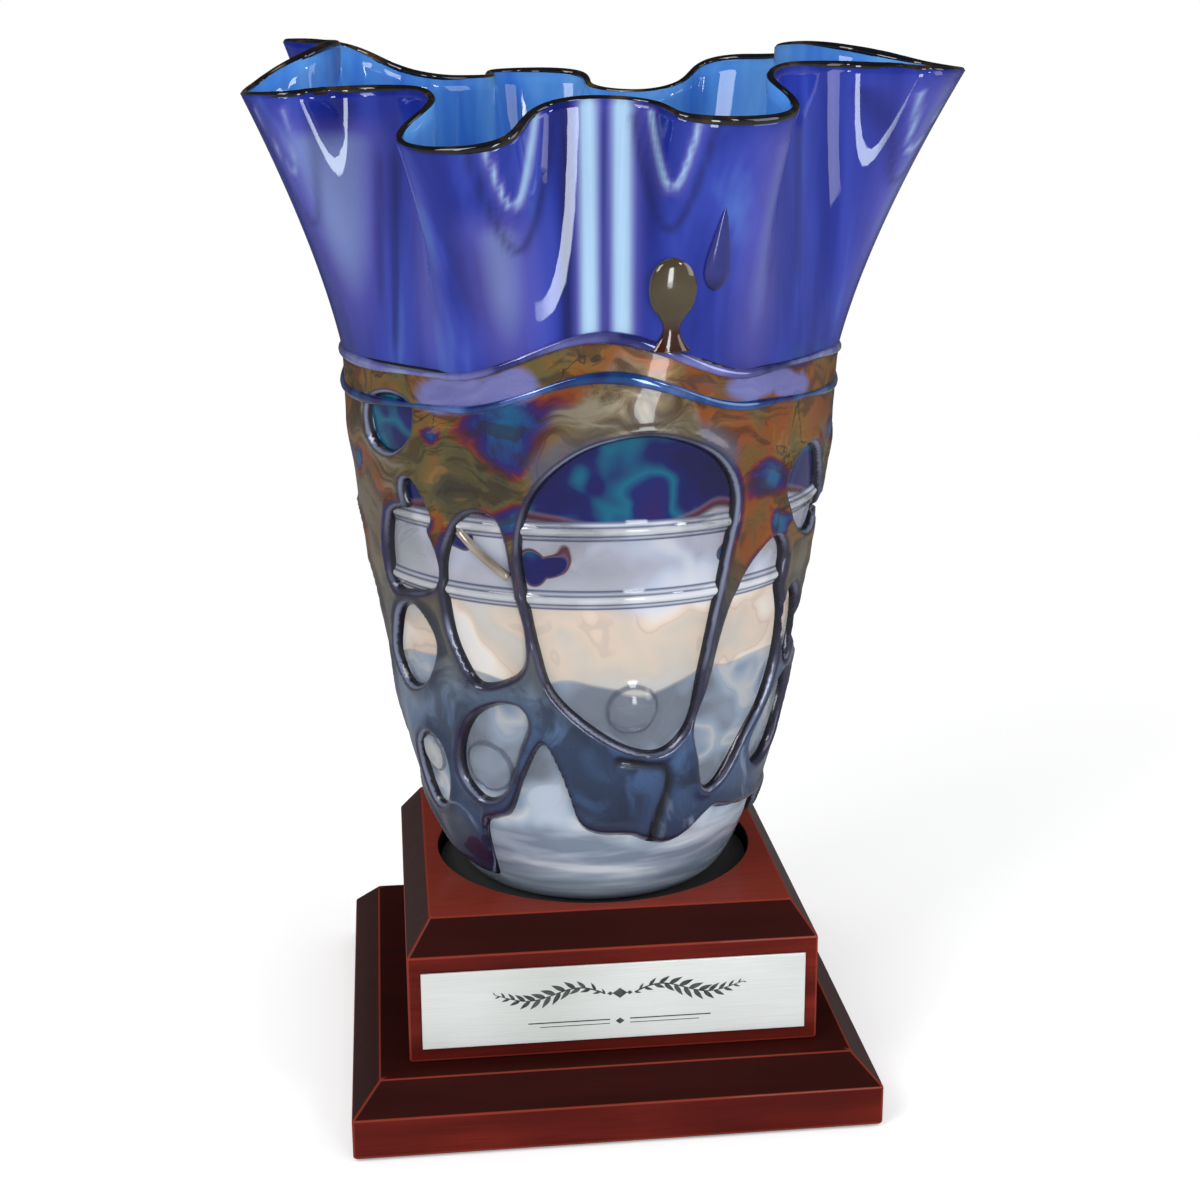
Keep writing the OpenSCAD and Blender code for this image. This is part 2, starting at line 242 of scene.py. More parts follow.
def hollow_r(z):
    rise = np.clip((z - HOLLOW_Z) / (SHOULDER_Z - HOLLOW_Z), 0, None)
    return HOLLOW_R + (SHOULDER_R - WALL_T - HOLLOW_R) * np.sqrt(rise)


def opening(t):
    """How far the lobes have opened, from 0 at the shoulder to 1 at the lip."""
    return 0.1 * t + 0.9 * t ** 1.5


def outside_r(azimuth, z):
    """Radius of the wall's outside at an azimuth and height."""
    t = np.clip((z - SHOULDER_Z) / (lip_at(azimuth, 2) - SHOULDER_Z), 0, 1)
    return np.where(z <= SHOULDER_Z, body_r(np.minimum(z, SHOULDER_Z)),
                    mix(SHOULDER_R, lip_at(azimuth, 1), opening(t)))


def streaked(azimuth, z, streaks):
    """How strongly the given painted reflection streaks show at places on the lobes, 0 to 1."""
    total = 0.0 * z
    for middle, half_width, low, high, strength in streaks:
        away = turned_from(azimuth, middle)
        fade = 6 + 7 * half_width
        along = ease(np.clip((z - low) / fade + 0.5, 0, 1)) * ease(np.clip((high - z) / 12 + 0.5, 0, 1))
        total = np.maximum(total, strength * along * np.exp(-(away / half_width) ** 2))
    return total


def reflected_lip_arcs(azimuth, z, loops):
    """How strongly the painted reflections of the lip's folds, as hanging arcs, show at places on the lobes,
    0 to 1.
    """
    total = 0.0 * z
    for middle, half_width, low, high, strength in loops:
        away = turned_from(azimuth, middle) / half_width
        climb = 2 * (high - low) * np.abs(away) / (half_width * 1.7)
        off = (z - low - (high - low) * away ** 2) / np.sqrt(1 + climb ** 2)
        total = np.maximum(total, strength * (z < high) * np.exp(-(off / 1.3) ** 2))
    return total


def on_wall(azimuth, z, rise=0.0):
    """Points in metres on the wall's outside, rise millimetres out from it."""
    r = (outside_r(azimuth, z) + rise) * MM
    return np.stack([*around(r, azimuth), z * MM + 0 * r], axis=-1)


def ripple(x, y, z, cell):
    """A smooth, repeatable unevenness between -1 and 1, with lumps about cell across."""
    k = 2 * math.pi / cell
    return (np.sin(k * (x + 0.31 * z) + 1.3 * np.sin(k * 0.7 * y)) * np.cos(k * (0.9 * y - 0.23 * z) + 0.6)
            + 0.6 * np.sin(k * 1.7 * (z + 0.4 * x) + 2.1 * np.cos(k * 0.6 * y))) / 1.6


# ------------------------------------------------------------------ mesh helpers

def linked(name, data):
    thing = bpy.data.objects.new(name, data)
    bpy.context.collection.objects.link(thing)
    return thing


def mesh_from(name, bm):
    mesh = bpy.data.meshes.new(name)
    bm.to_mesh(mesh)
    bm.free()
    return mesh


def solid(name, vertices, faces, smooth=True):
    """A new mesh object with its normals made to point outwards."""
    mesh = bpy.data.meshes.new(name)
    mesh.from_pydata([tuple(v) for v in vertices], [], [tuple(f) for f in faces])
    mesh.update()
    bm = bmesh.new()
    bm.from_mesh(mesh)
    bmesh.ops.recalc_face_normals(bm, faces=bm.faces)
    bm.to_mesh(mesh)
    bm.free()
    mesh.polygons.foreach_set("use_smooth", [smooth] * len(mesh.polygons))
    return linked(name, mesh)


def number_attribute(piece, name, values):
    attribute = piece.data.attributes.new(name, "FLOAT", "POINT")
    attribute.data.foreach_set("value", np.asarray(values, dtype=np.float32))


def ring_faces(rings, sides, closed_ring=False):
    """Quads between rings of sides points each; closed_ring joins the last ring to the first."""
    spans = rings if closed_ring else rings - 1
    i, k = np.meshgrid(np.arange(spans), np.arange(sides), indexing="ij")
    a, b, k2 = i * sides, (i + 1) % rings * sides, (k + 1) % sides
    return np.stack([a + k, a + k2, b + k2, b + k], axis=-1).reshape(-1, 4)


def tube(path, radii, sides=12, closed=True, flat=1.0):
    """Points and quads of a tube along path; flat squashes it towards the vase's axis."""
    count = len(path)
    before = np.roll(path, 1, axis=0)
    after = np.roll(path, -1, axis=0)
    if not closed:
        before[0], after[-1] = path[0], path[-1]
    along = after - before
    along /= np.linalg.norm(along, axis=1)[:, None]
    outward = path * (1, 1, 0)
    outward -= along * np.sum(outward * along, axis=1)[:, None]
    outward /= np.linalg.norm(outward, axis=1)[:, None]
    across = np.cross(along, outward)
    turn = 2 * math.pi * np.arange(sides) / sides
    radii = np.broadcast_to(radii, count)[:, None, None]
    points = (path[:, None, :] + radii * (outward[:, None, :] * (flat * np.cos(turn))[None, :, None]
                                          + across[:, None, :] * np.sin(turn)[None, :, None]))
    faces = [tuple(f) for f in ring_faces(count, sides, closed)]
    if not closed:
        faces.append(tuple(range(sides)))
        faces.append(tuple((count - 1) * sides + k for k in range(sides)))
    return points.reshape(-1, 3), faces


# ------------------------------------------------------------------ the wall

def body_heights():
    """Heights of the wall's rings below the shoulder, close together at the foot and at the threads."""
    low = FOOT_Z + SHOULDER_H * np.linspace(0, 0.42, 16) ** 2
    plain = np.arange(low[-1] + 2.4, SHOULDER_Z - 1, 2.6)
    near = np.concatenate([height + np.arange(-5, 5.1, 0.8) for height in THREADS])
    plain = plain[np.min(np.abs(plain[:, None] - near[None, :]), axis=1) > 1]
    return np.sort(np.concatenate([low, plain, near, [SHOULDER_Z]]))


def hollow_heights():
    """Heights of the hollow's rings, from the shoulder down and closer together towards its floor."""
    return np.concatenate([np.arange(SHOULDER_Z - 1, 100, -3.4),
                           HOLLOW_Z + (98 - HOLLOW_Z) * np.linspace(1, 0, 14) ** 2])


def glass_relief(azimuth, z):
    """How far the clear threads and lenses stand out of the wall."""
    rise = sum(THREAD_RISE * np.exp(-((z - height) / THREAD_SPREAD) ** 2) for height in THREADS)
    for lens_azimuth, height, radius, swell in LENSES:
        across = np.radians(turned_from(azimuth, lens_azimuth)) * body_r(height)
        near = np.clip(1 - (across ** 2 + (z - height) ** 2) / radius ** 2, 0, 1)
        rise = rise + swell * np.sqrt(near)
    return rise


def make_wall():
    """The blown vessel as one closed skin: up the outside to the lip, then down the inside to its floor."""
    base_azimuth = RING[:, 0]
    rings, sides_out, places = [], [], []

    def add(radius, azimuth, height, outside):
        places.append((azimuth, height + 0 * radius))
        rings.append(np.stack([*around(radius, azimuth), height + 0 * radius], axis=1))
        sides_out.append(outside)

    for z in body_heights():
        add(body_r(z) + glass_relief(base_azimuth, z) + 0 * base_azimuth, base_azimuth, z, 1)
    lobes = []
    for t in np.linspace(0, 1, LOBE_RINGS)[1:]:
        r = mix(SHOULDER_R, RING[:, 1], opening(t))
        a = base_azimuth + RING[:, 3] * opening(t)
        lobes.append((r, a, mix(SHOULDER_Z, RING[:, 2], t)))
        add(*lobes[-1], 1)
    for r, a, z in reversed(lobes[::2]):
        p = np.stack(around(r, a), axis=1)
        rings.append(np.column_stack([p - WALL_T * flat_normals(p), z]))
        places.append((a, z))
        sides_out.append(0)
    for z in hollow_heights():
        wave = 0.45 * ripple(*around(60, base_azimuth), z, 34)
        calm = np.clip((z - HOLLOW_Z) / 20, 0, 1) * np.clip((SHOULDER_Z - z) / 20, 0, 1)
        add(hollow_r(z) + wave * calm, base_azimuth, z, 0)
    for share in (0.7, 0.4, 0.15):
        add(HOLLOW_R * share + 0 * base_azimuth, base_azimuth, HOLLOW_Z - FLOOR_DISH * (1 - share), 0)
    columns = len(base_azimuth)
    vertices = np.concatenate(rings) * MM
    faces = [tuple(f) for f in ring_faces(len(rings), columns)]
    first_centre, last_centre = len(vertices), len(vertices) + 1
    vertices = np.vstack([vertices, [0, 0, FOOT_Z * MM], [0, 0, (HOLLOW_Z - FLOOR_DISH) * MM]])
    last = (len(rings) - 1) * columns
    for k in range(columns):
        faces.append(((k + 1) % columns, k, first_centre))
        faces.append((last + k, last + (k + 1) % columns, last_centre))
    piece = solid("blown_wall", vertices, faces)
    number_attribute(piece, "outside", np.append(np.repeat(sides_out, columns), [1, 0]))
    azimuths, heights = np.concatenate(places, axis=1)
    # pale and dark: painted reflections on the lobes, as streaks and as arcs hanging from the lip
    for name, streaks, loops in (("pale", PALE_REFLECTION_STREAKS, PALE_LIP_REFLECTIONS), ("dark", DARK_REFLECTION_STREAKS, DARK_LIP_REFLECTIONS)):
        shown = np.maximum(streaked(azimuths, heights, streaks), reflected_lip_arcs(azimuths, heights, loops))
        number_attribute(piece, name, np.append(shown, [0, 0]))
    return piece


def make_lip():
    """A thread round the lip, along the middle of the wall's top, dark as painted shade standing in for the
    glass's edge seen end on.
    """
    p = np.stack(around(RING[:, 1], RING[:, 0] + RING[:, 3]), axis=1)
    path = np.column_stack([p - WALL_T / 2 * flat_normals(p), RING[:, 2]]) * MM
    thickness = (LIP_R + 0.25 * np.sin(np.radians(RING[:, 0]) * 9)) * MM
    return solid("lip_thread", *tube(path, thickness, flat=1.15))


# ------------------------------------------------------------------ the lustred web

WEB_COLUMNS = 400
WEB_STEP = 1.25
WEB_LOW, WEB_HIGH = 74, 274

# The web's section from an edge inwards: how far the distance is measured, the edge's rounding, the bead
# along it and the folds' groove; then the short step by which slopes are measured
DEPTH_LIMIT = 12.0
EDGE_ROUND = 3.2
BEAD_RISE, BEAD_PLACE, BEAD_SPREAD = 1.1, 2.6, 1.7
SEAM_SINK, SEAM_SPREAD = 1.7, 1.3
PROBE = 0.4


def trail_height(azimuth, base):
    """Height of a wavy trail at an azimuth."""
    height = base + 0.0 * azimuth
    for middle, rise, half_width in CRESTS:
        away = np.abs(turned_from(azimuth, middle))
        height = height + rise * ease(np.clip(1 - away / half_width, 0, 1))
    return height


def smooth_loop(points, per_span=6, closed=True):
    """A smooth curve through points, closed or open."""
    p = np.array(points, float)
    count = len(p)
    rows = []
    for i in range(count if closed else count - 1):
        if closed:
            a, b, c, d = p[i - 1], p[i], p[(i + 1) % count], p[(i + 2) % count]
        else:
            a, b, c, d = p[max(i - 1, 0)], p[i], p[i + 1], p[min(i + 2, count - 1)]
        for u in np.arange(per_span) / per_span:
            rows.append(0.5 * (2 * b + (c - a) * u + (2 * a - 5 * b + 4 * c - d) * u ** 2
                               + (3 * b - 3 * c + d - a) * u ** 3))
    if not closed:
        rows.append(p[-1])
    return np.array(rows)


def placed_window(outline, turn, lift, size, mirrored):
    """A window's outline after it is turned round the vase, lifted, resized and mirrored."""
    p = np.array(outline, float)
    centre = p.mean(axis=0)
    away = (p - centre) * size
    if mirrored:
        away[:, 0] = -away[:, 0]
    return smooth_loop(centre + away + (turn, lift))


def nearest(x, z, loop_x, loop_z, closed=True):
    """Distance from points to a curve, and whether each point is inside it."""
    ax, az = loop_x, loop_z
    bx, bz = np.roll(loop_x, -1), np.roll(loop_z, -1)
    if not closed:
        ax, az, bx, bz = ax[:-1], az[:-1], bx[:-1], bz[:-1]
    ex, ez = bx - ax, bz - az
    px, pz = x[:, None] - ax, z[:, None] - az
    u = np.clip((px * ex + pz * ez) / (ex ** 2 + ez ** 2), 0, 1)
    distance = np.sqrt((px - u * ex) ** 2 + (pz - u * ez) ** 2).min(axis=1)
    crosses = ((az > z[:, None]) != (bz > z[:, None])) & (px < ex * pz / np.where(ez == 0, 1, ez))
    return distance, crosses.sum(axis=1) % 2 == 1


PLACED = [placed_window(*window) for window in WINDOWS]
EDGE_LOOP = smooth_loop([(a - 360, z) for a, z in LOWER_EDGE[-3:]] + list(LOWER_EDGE)
                        + [(a + 360, z) for a, z in LOWER_EDGE[:4]], closed=False)


def middle_and_scale(curve):
    """Azimuth of a curve's middle, and millimetres to a degree at its height."""
    return curve[:, 0].mean(), math.radians(1) * float(body_r(curve[:, 1].mean()))


def web_depth(azimuth, z):
    """How far inside the web a place is, in millimetres: negative in a window or past an edge."""
    azimuth = np.asarray(azimuth, float) % 360
    depth = np.minimum((z - np.interp(azimuth, EDGE_LOOP[:, 0], EDGE_LOOP[:, 1])) * 0.75,
                       trail_height(azimuth, TRAILS[1]) + 1.5 - z)
    depth = np.minimum(depth, DEPTH_LIMIT)
    for loop in PLACED:
        centre, scale = middle_and_scale(loop)
        x = turned_from(azimuth, centre) * scale
        loop_x = (loop[:, 0] - centre) * scale
        near = np.where((x > loop_x.min() - DEPTH_LIMIT) & (x < loop_x.max() + DEPTH_LIMIT)
                        & (z > loop[:, 1].min() - DEPTH_LIMIT) & (z < loop[:, 1].max() + DEPTH_LIMIT))[0]
        if len(near) == 0:
            continue
        distance, inside = nearest(x[near], z[near], loop_x, loop[:, 1])
        depth[near] = np.minimum(depth[near], np.where(inside, -distance, distance))
    return depth


def seam_distance(azimuth, z):
    """How far a place is from the nearest fold, up to 30 millimetres."""
    best = np.full(len(z), 30.0)
    for seam in SEAMS:
        curve = smooth_loop(seam, closed=False)
        centre, scale = middle_and_scale(curve)
        x = turned_from(azimuth, centre) * scale
        near = np.where(np.abs(x) < 60)[0]
        distance, _ = nearest(x[near], z[near], (curve[:, 0] - centre) * scale, curve[:, 1], closed=False)
        best[near] = np.minimum(best[near], distance)
    return best


def pulled_to_edge(azimuth, z):
    """Places moved along the slope of the web's depth until they lie on its edge."""
    for _ in range(4):
        scale = np.radians(1) * body_r(z)
        here = web_depth(azimuth, z)
        aside = PROBE / scale
        slope_x = (web_depth(azimuth + aside, z) - web_depth(azimuth - aside, z)) / (2 * PROBE)
        slope_z = (web_depth(azimuth, z + PROBE) - web_depth(azimuth, z - PROBE)) / (2 * PROBE)
        step = np.clip(here / np.maximum(slope_x ** 2 + slope_z ** 2, 0.2), -1.0, 1.0)
        azimuth = azimuth - 0.8 * step * slope_x / scale
        z = z - 0.8 * step * slope_z
    return azimuth, z


def make_web():
    """The web as one closed skin: a rounded outside over the wall and an inside bedded in it."""
    rows = int((WEB_HIGH - WEB_LOW) / WEB_STEP) + 1
    azimuth, z = np.meshgrid(np.arange(WEB_COLUMNS) * 360 / WEB_COLUMNS, WEB_LOW + WEB_STEP * np.arange(rows),
                             indexing="ij")
    azimuth, z = azimuth.ravel(), z.ravel()
    depth = web_depth(azimuth, z)

    column, row = np.meshgrid(np.arange(WEB_COLUMNS), np.arange(rows - 1), indexing="ij")
    a = (column * rows + row).ravel()
    b = ((column + 1) % WEB_COLUMNS * rows + row).ravel()
    quads = np.stack([a, b, b + 1, a + 1], axis=1)
    kept = depth[quads].mean(axis=1) > 0
    uses_kept = np.bincount(quads[kept].ravel(), minlength=len(z))
    uses_all = np.bincount(quads.ravel(), minlength=len(z))
    rim = np.where((uses_kept > 0) & (uses_kept < uses_all))[0]

    azimuth[rim], z[rim] = pulled_to_edge(azimuth[rim], z[rim])
    depth = web_depth(azimuth, z)
    depth[rim] = 0
    inner = np.clip(depth, 0, None)
    rounding = np.sqrt(1 - (1 - np.clip(inner / EDGE_ROUND, 0, 1)) ** 2)
    fade = np.clip((trail_height(azimuth, TRAILS[1]) - z) / 24, 0, 1) ** 0.75
    bead = BEAD_RISE * np.exp(-((inner - BEAD_PLACE) / BEAD_SPREAD) ** 2)
    ground = 0.5 * ripple(*around(70, azimuth), z, 38)
    seam = seam_distance(azimuth, z)
    rise = rounding * fade * (WEB_T + bead + ground * np.clip(inner / 5, 0, 1))
    rise = np.maximum(rise - SEAM_SINK * np.exp(-(seam / SEAM_SPREAD) ** 2), 0.1 * (inner > 0))
    under_threads = glass_relief(azimuth, z) * np.exp(-inner / 3)
    outer = on_wall(azimuth, z, rise + 0.3 * under_threads)
    under = on_wall(azimuth, z, -BED)

    skin = quads[kept]
    edge_pairs = np.concatenate([skin[:, [k, (k + 1) % 4]] for k in range(4)])
    keys = np.sort(edge_pairs, axis=1)
    _, first, counts = np.unique(keys[:, 0] * len(z) + keys[:, 1], return_index=True, return_counts=True)
    border = edge_pairs[first[counts == 1]]
    lift = len(z)
    walls = np.stack([border[:, 1], border[:, 0], border[:, 0] + lift, border[:, 1] + lift], axis=1)
    faces = np.concatenate([skin, skin[:, ::-1] + lift, walls])
    used = np.unique(faces)
    renumber = np.full(2 * lift, -1)
    renumber[used] = np.arange(len(used))
    piece = solid("lustred_web", np.concatenate([outer, under])[used], renumber[faces])
    number_attribute(piece, "seam", np.tile(np.exp(-(seam / 2.0) ** 2), 2)[used])
    number_attribute(piece, "inset", np.tile(inner / DEPTH_LIMIT, 2)[used])
    slots = np.zeros(len(piece.data.polygons), dtype=np.int32)
    slots[len(skin):2 * len(skin)] = 1
    piece.data.polygons.foreach_set("material_index", slots)
    return piece


def make_trail(name, base, rise):
    """A wavy thread of glass wrapped round the wall, rise millimetres out from it."""
    azimuth = np.arange(0, 360, 1.0)
    z = trail_height(azimuth, base) + 0.8 * np.sin(np.radians(azimuth) * 5 + base)
    turn = np.radians(azimuth)
    thickness = (TRAIL_R + 0.45 * np.sin(turn * 4 + 1.1) + 0.25 * np.sin(turn * 11)) * MM
    return solid(name, *tube(on_wall(azimuth, z, rise), thickness, flat=0.7))


def make_drop(name, azimuth, stations, flat):
    """A drop of glass lying on the wall, turned from heights and radii."""
    height, radius = smooth_loop(stations, per_span=5, closed=False).T
    path = on_wall(azimuth + 0 * height, height, 0.2)
    return solid(name, *tube(path, np.maximum(radius, 0.05) * MM, sides=24, closed=False, flat=flat))


def make_strand():
    """A strand of glass drawn across the side slot."""
    u = np.linspace(0, 1, 16)
    path = on_wall(mix(232.5, 244.5, u), mix(206, 192, u), 1.6 + 1.0 * np.sin(np.pi * u))
    return solid("slot_strand", *tube(path, 1.5 * MM, sides=10, closed=False))


# ------------------------------------------------------------------ the base

SIDE_POINTS = 24
ARC_POINTS = 4
CORNER_R = 0.9
ARRIS = 0.55
EASED_FOOT = 0.6
WELL_R = 56.5


def square_ring(half):
    """Points round a square with rounded corners, each with 1 on a corner's arc and 0 off it."""
    rows = []
    straight = half - CORNER_R
    for quarter in range(4):
        turn = quarter * math.pi / 2
        side = []
        for k in range(ARC_POINTS + 1):
            a = k / ARC_POINTS * math.pi / 2
            on_arc = 1 if 0 < k < ARC_POINTS else 0
            side.append((straight + CORNER_R * math.cos(a), straight + CORNER_R * math.sin(a), on_arc))
        for k in range(1, SIDE_POINTS):
            side.append((mix(straight, -straight, k / SIDE_POINTS), half, 0))
        c, s = math.cos(turn), math.sin(turn)
        rows += [(x * c - y * s, x * s + y * c, on_arc) for x, y, on_arc in side]
    return np.array(rows)


def eased_profile(profile):
    """A profile of half width and height with its corners eased; 1 where it is eased, and 1 on the bevel."""
    p = np.array(profile, float)
    rows = [(*p[0], 0, 0)]
    bevel_start = len(p) - 3
    for i in range(1, len(p) - 1):
        before, here, after = p[i - 1:i + 2]
        start = here + (before - here) / np.linalg.norm(before - here) * ARRIS
        end = here + (after - here) / np.linalg.norm(after - here) * ARRIS
        for u in (0, 0.33, 0.67, 1):
            x, z = (1 - u) ** 2 * start + 2 * u * (1 - u) * here + u ** 2 * end
            sloping = (i, u) in ((bevel_start, 1), (bevel_start + 1, 0))
            rows.append((x, z, 1 if 0 < u < 1 else 0, 1 if sloping else 0))
    rows.append((*p[-1], 0, 0))
    return rows


def make_tier(name, profile, well_floor=None):
    """One tier of the base, square with bevelled shoulders, and a round well cut in where it has a floor."""
    rings, arris, depth, slope = [], [], [], []
    for half, z, eased, sloping in eased_profile(profile):
        ring = square_ring(half)
        rings.append(np.column_stack([ring[:, :2], np.full(len(ring), z)]))
        arris.append(np.maximum(ring[:, 2], eased))
        depth.append(np.zeros(len(ring)))
        slope.append(np.full(len(ring), sloping))
    arris[-1] = np.zeros(len(ring))
    if well_floor is not None:
        top = profile[-1][1]
        angle = np.arctan2(ring[:, 1], ring[:, 0])
        for radius, z, rim in ((WELL_R + 0.9, top, 0), (WELL_R + 0.35, top - 0.12, 0.8),
                               (WELL_R, top - 0.6, 0), (WELL_R, well_floor + 0.5, 0),
                               (WELL_R - 0.5, well_floor, 0)):
            x, y = radius * np.cos(angle), radius * np.sin(angle)
            rings.append(np.column_stack([x, y, np.full(len(ring), z)]))
            arris.append(np.full(len(ring), rim))
            depth.append(np.full(len(ring), 1.0 if z <= top - 0.6 else 0.0))
            slope.append(np.zeros(len(ring)))
    columns = len(ring)
    vertices = np.concatenate(rings) * MM
    faces = [tuple(f) for f in ring_faces(len(rings), columns)]
    faces.append(tuple(range(columns)))
    faces.append(tuple((len(rings) - 1) * columns + k for k in range(columns)))
    tier = solid(name, vertices, faces, smooth=False)
    number_attribute(tier, "arris", np.concatenate(arris))
    number_attribute(tier, "well", np.concatenate(depth))
    number_attribute(tier, "bevel", np.concatenate(slope))
    return tier


def tier_profile(low_corner, high_corner, bevel_width, bevel_height, flat):
    """Half width and height up a tier's side, over its bevel and a little way in along its top."""
    half, low, high = high_corner[0] / MM, low_corner[2] / MM, high_corner[2] / MM
    return ((half - EASED_FOOT, low), (half, low + EASED_FOOT), (half, high - bevel_height),
            (half - bevel_width, high), (half - bevel_width - flat, high))


def make_plinth():
    return make_tier("plinth_tier", tier_profile(PLINTH_LOW, PLINTH_HIGH, 9.5, 9.5, 2))


def make_block():
    return make_tier("block_tier", tier_profile(BLOCK_LOW, BLOCK_HIGH, 8, 11, 1), DISC_LOW[2] / MM)


def bevelled_sheet(name, low, high, bevel):
    """A flat sheet between two corners with finely bevelled edges."""
    bm = bmesh.new()
    bmesh.ops.create_cube(bm, size=1)
    for vertex in bm.verts:
        for axis in range(3):
            vertex.co[axis] = mix(low[axis], high[axis], vertex.co[axis] + 0.5)
    bmesh.ops.bevel(bm, geom=bm.edges[:], offset=bevel, segments=3, profile=0.5, affect="EDGES")
    bmesh.ops.recalc_face_normals(bm, faces=bm.faces)
    return linked(name, mesh_from(name, bm))


# ------------------------------------------------------------------ the plate's ornament

PLATE_FACE = PLATE_LOW[1]
PLATE_BEVEL = 0.25 * MM
MARK_PROUD = 0.05 * MM
SPRIG_CENTRE = (1.5, 46.5)
STEM_POINTS = 60
RULE_POINTS = 12

# From the sprigs' middle: ruled lines as drop, reach and weight, and lozenges as x, z and size
RULES = ((9.6, 31, 0.42), (11.1, 27, 0.26))
RULE_GAP = 3.4
LOZENGES = ((0, 0, 2.5), (0, -10.3, 1.5), (-3.3, 0, 1.0), (3.3, 0, 1.0))
LEAF_SIZES = {"Leaf Spacing": 1.7 * MM, "Leaf Length": 5.4 * MM, "Leaf Spread": 0.62, "Seed": 7}


def sprig_stem(side):
    """A sprig's stem from the middle of the plate outwards, as x and z in millimetres."""
    u = np.linspace(0, 1, STEM_POINTS)
    x = 5 + 37 * u
    z = 2.6 * np.sin(u * 2.1 * np.pi) * (1 - 0.35 * u) + 1.2 * u
    return np.column_stack([SPRIG_CENTRE[0] + side * x, SPRIG_CENTRE[1] + z])


def flat_mark(path, widths):
    """A thin engraved line along path, as points and faces standing just proud of the plate."""
    along = np.gradient(path, axis=0)
    along /= np.linalg.norm(along, axis=1)[:, None]
    across = np.column_stack([-along[:, 1], along[:, 0]]) * (np.asarray(widths)[:, None] / 2)
    left, right = path + across, path - across
    front, back = PLATE_FACE - MARK_PROUD, PLATE_FACE + MARK_PROUD
    rings = [np.column_stack([p[:, 0] * MM, np.full(len(p), y), p[:, 1] * MM])
             for p, y in ((left, front), (right, front), (right, back), (left, back))]
    points = np.stack(rings, axis=1).reshape(-1, 3)
    faces = [tuple(f) for f in ring_faces(len(path), 4)]
    faces.append((0, 1, 2, 3))
    last = 4 * (len(path) - 1)
    faces.append((last + 3, last + 2, last + 1, last))
    return points, faces


def leaf_mesh():
    """One leaf lying along +X in the plate's plane, one unit long, with a pointed tip."""
    u = np.linspace(0, 1, 9)
    half_width = 0.17 * np.sin(np.pi * u ** 0.8) * (1 - 0.25 * u)
    outline = list(zip(u, half_width)) + list(zip(u[-2:0:-1], -half_width[-2:0:-1]))
    count = len(outline)
    front = [(x, -MARK_PROUD, z) for x, z in outline]
    back = [(x, MARK_PROUD, z) for x, z in outline]
    faces = [tuple(range(count)), tuple(range(2 * count - 1, count - 1, -1))]
    for k in range(count):
        after = (k + 1) % count
        faces.append((after, k, k + count, after + count))
    return solid("sprig_leaf", front + back, faces, smooth=False)


def leaf_tree(leaf, mark_paint):
    """Nodes that set leaves along a stem, on alternate sides and smaller towards both ends."""
    tree = bpy.data.node_groups.new("leaves_along_stem", "GeometryNodeTree")
    for name, kind in (("Stem", "Geometry"), ("Leaf Spacing", "Float"), ("Leaf Length", "Float"),
                       ("Leaf Spread", "Float"), ("Seed", "Int")):
        tree.interface.new_socket(name, in_out="INPUT", socket_type="NodeSocket" + kind)
    tree.interface.new_socket("Leaves", in_out="OUTPUT", socket_type="NodeSocketGeometry")
    nodes, links = tree.nodes, tree.links

    def node(kind, **properties):
        made = nodes.new(kind)
        for key, value in properties.items():
            setattr(made, key, value)
        return made

    def maths(operation, a, b=None):
        made = node("ShaderNodeMath", operation=operation)
        for i, value in enumerate((a, b)):
            if isinstance(value, bpy.types.NodeSocket):
                links.new(value, made.inputs[i])
            elif value is not None:
                made.inputs[i].default_value = value
        return made.outputs[0]

    sizes = node("NodeGroupInput")
    spaced = node("GeometryNodeResampleCurve", mode="LENGTH")
    links.new(sizes.outputs["Stem"], spaced.inputs["Curve"])
    links.new(sizes.outputs["Leaf Spacing"], spaced.inputs["Length"])
    tangent = node("ShaderNodeSeparateXYZ")
    links.new(node("GeometryNodeInputTangent").outputs[0], tangent.inputs[0])
    heading = maths("ARCTAN2", tangent.outputs["Z"], tangent.outputs["X"])
    parity = maths("MODULO", node("GeometryNodeInputIndex").outputs[0], 2.0)
    side = maths("MULTIPLY", maths("SUBTRACT", parity, 0.5), 2.0)
    uneven = node("FunctionNodeRandomValue", data_type="FLOAT")
    links.new(sizes.outputs["Seed"], uneven.inputs["Seed"])
    unevenness = maths("MULTIPLY", maths("SUBTRACT", uneven.outputs[1], 0.5), 0.16)
    lean = maths("ADD", maths("MULTIPLY", side, sizes.outputs["Leaf Spread"]), unevenness)
    turn = node("ShaderNodeCombineXYZ")
    links.new(maths("MULTIPLY", maths("ADD", heading, lean), -1.0), turn.inputs["Y"])
    place_along = node("GeometryNodeSplineParameter").outputs["Factor"]
    span = maths("ADD", maths("MULTIPLY", place_along, 0.78), 0.14)
    taper = maths("SINE", maths("MULTIPLY", span, math.pi))
    length = maths("MULTIPLY", taper, sizes.outputs["Leaf Length"])
    scale = node("ShaderNodeCombineXYZ")
    links.new(length, scale.inputs["X"])
    links.new(length, scale.inputs["Z"])
    scale.inputs["Y"].default_value = 1.0
    pattern = node("GeometryNodeObjectInfo")
    pattern.inputs["Object"].default_value = leaf
    pattern.inputs["As Instance"].default_value = True
    leaves = node("GeometryNodeInstanceOnPoints")
    links.new(spaced.outputs[0], leaves.inputs["Points"])
    links.new(pattern.outputs["Geometry"], leaves.inputs["Instance"])
    links.new(turn.outputs[0], leaves.inputs["Rotation"])
    links.new(scale.outputs[0], leaves.inputs["Scale"])
    real = node("GeometryNodeRealizeInstances")
    links.new(leaves.outputs[0], real.inputs[0])
    painted = node("GeometryNodeSetMaterial")
    painted.inputs["Material"].default_value = mark_paint
    links.new(real.outputs[0], painted.inputs["Geometry"])
    links.new(painted.outputs[0], node("NodeGroupOutput").inputs[0])
    return tree


def socket_named(tree, name):
    return next(item.identifier for item in tree.interface.items_tree if item.name == name)


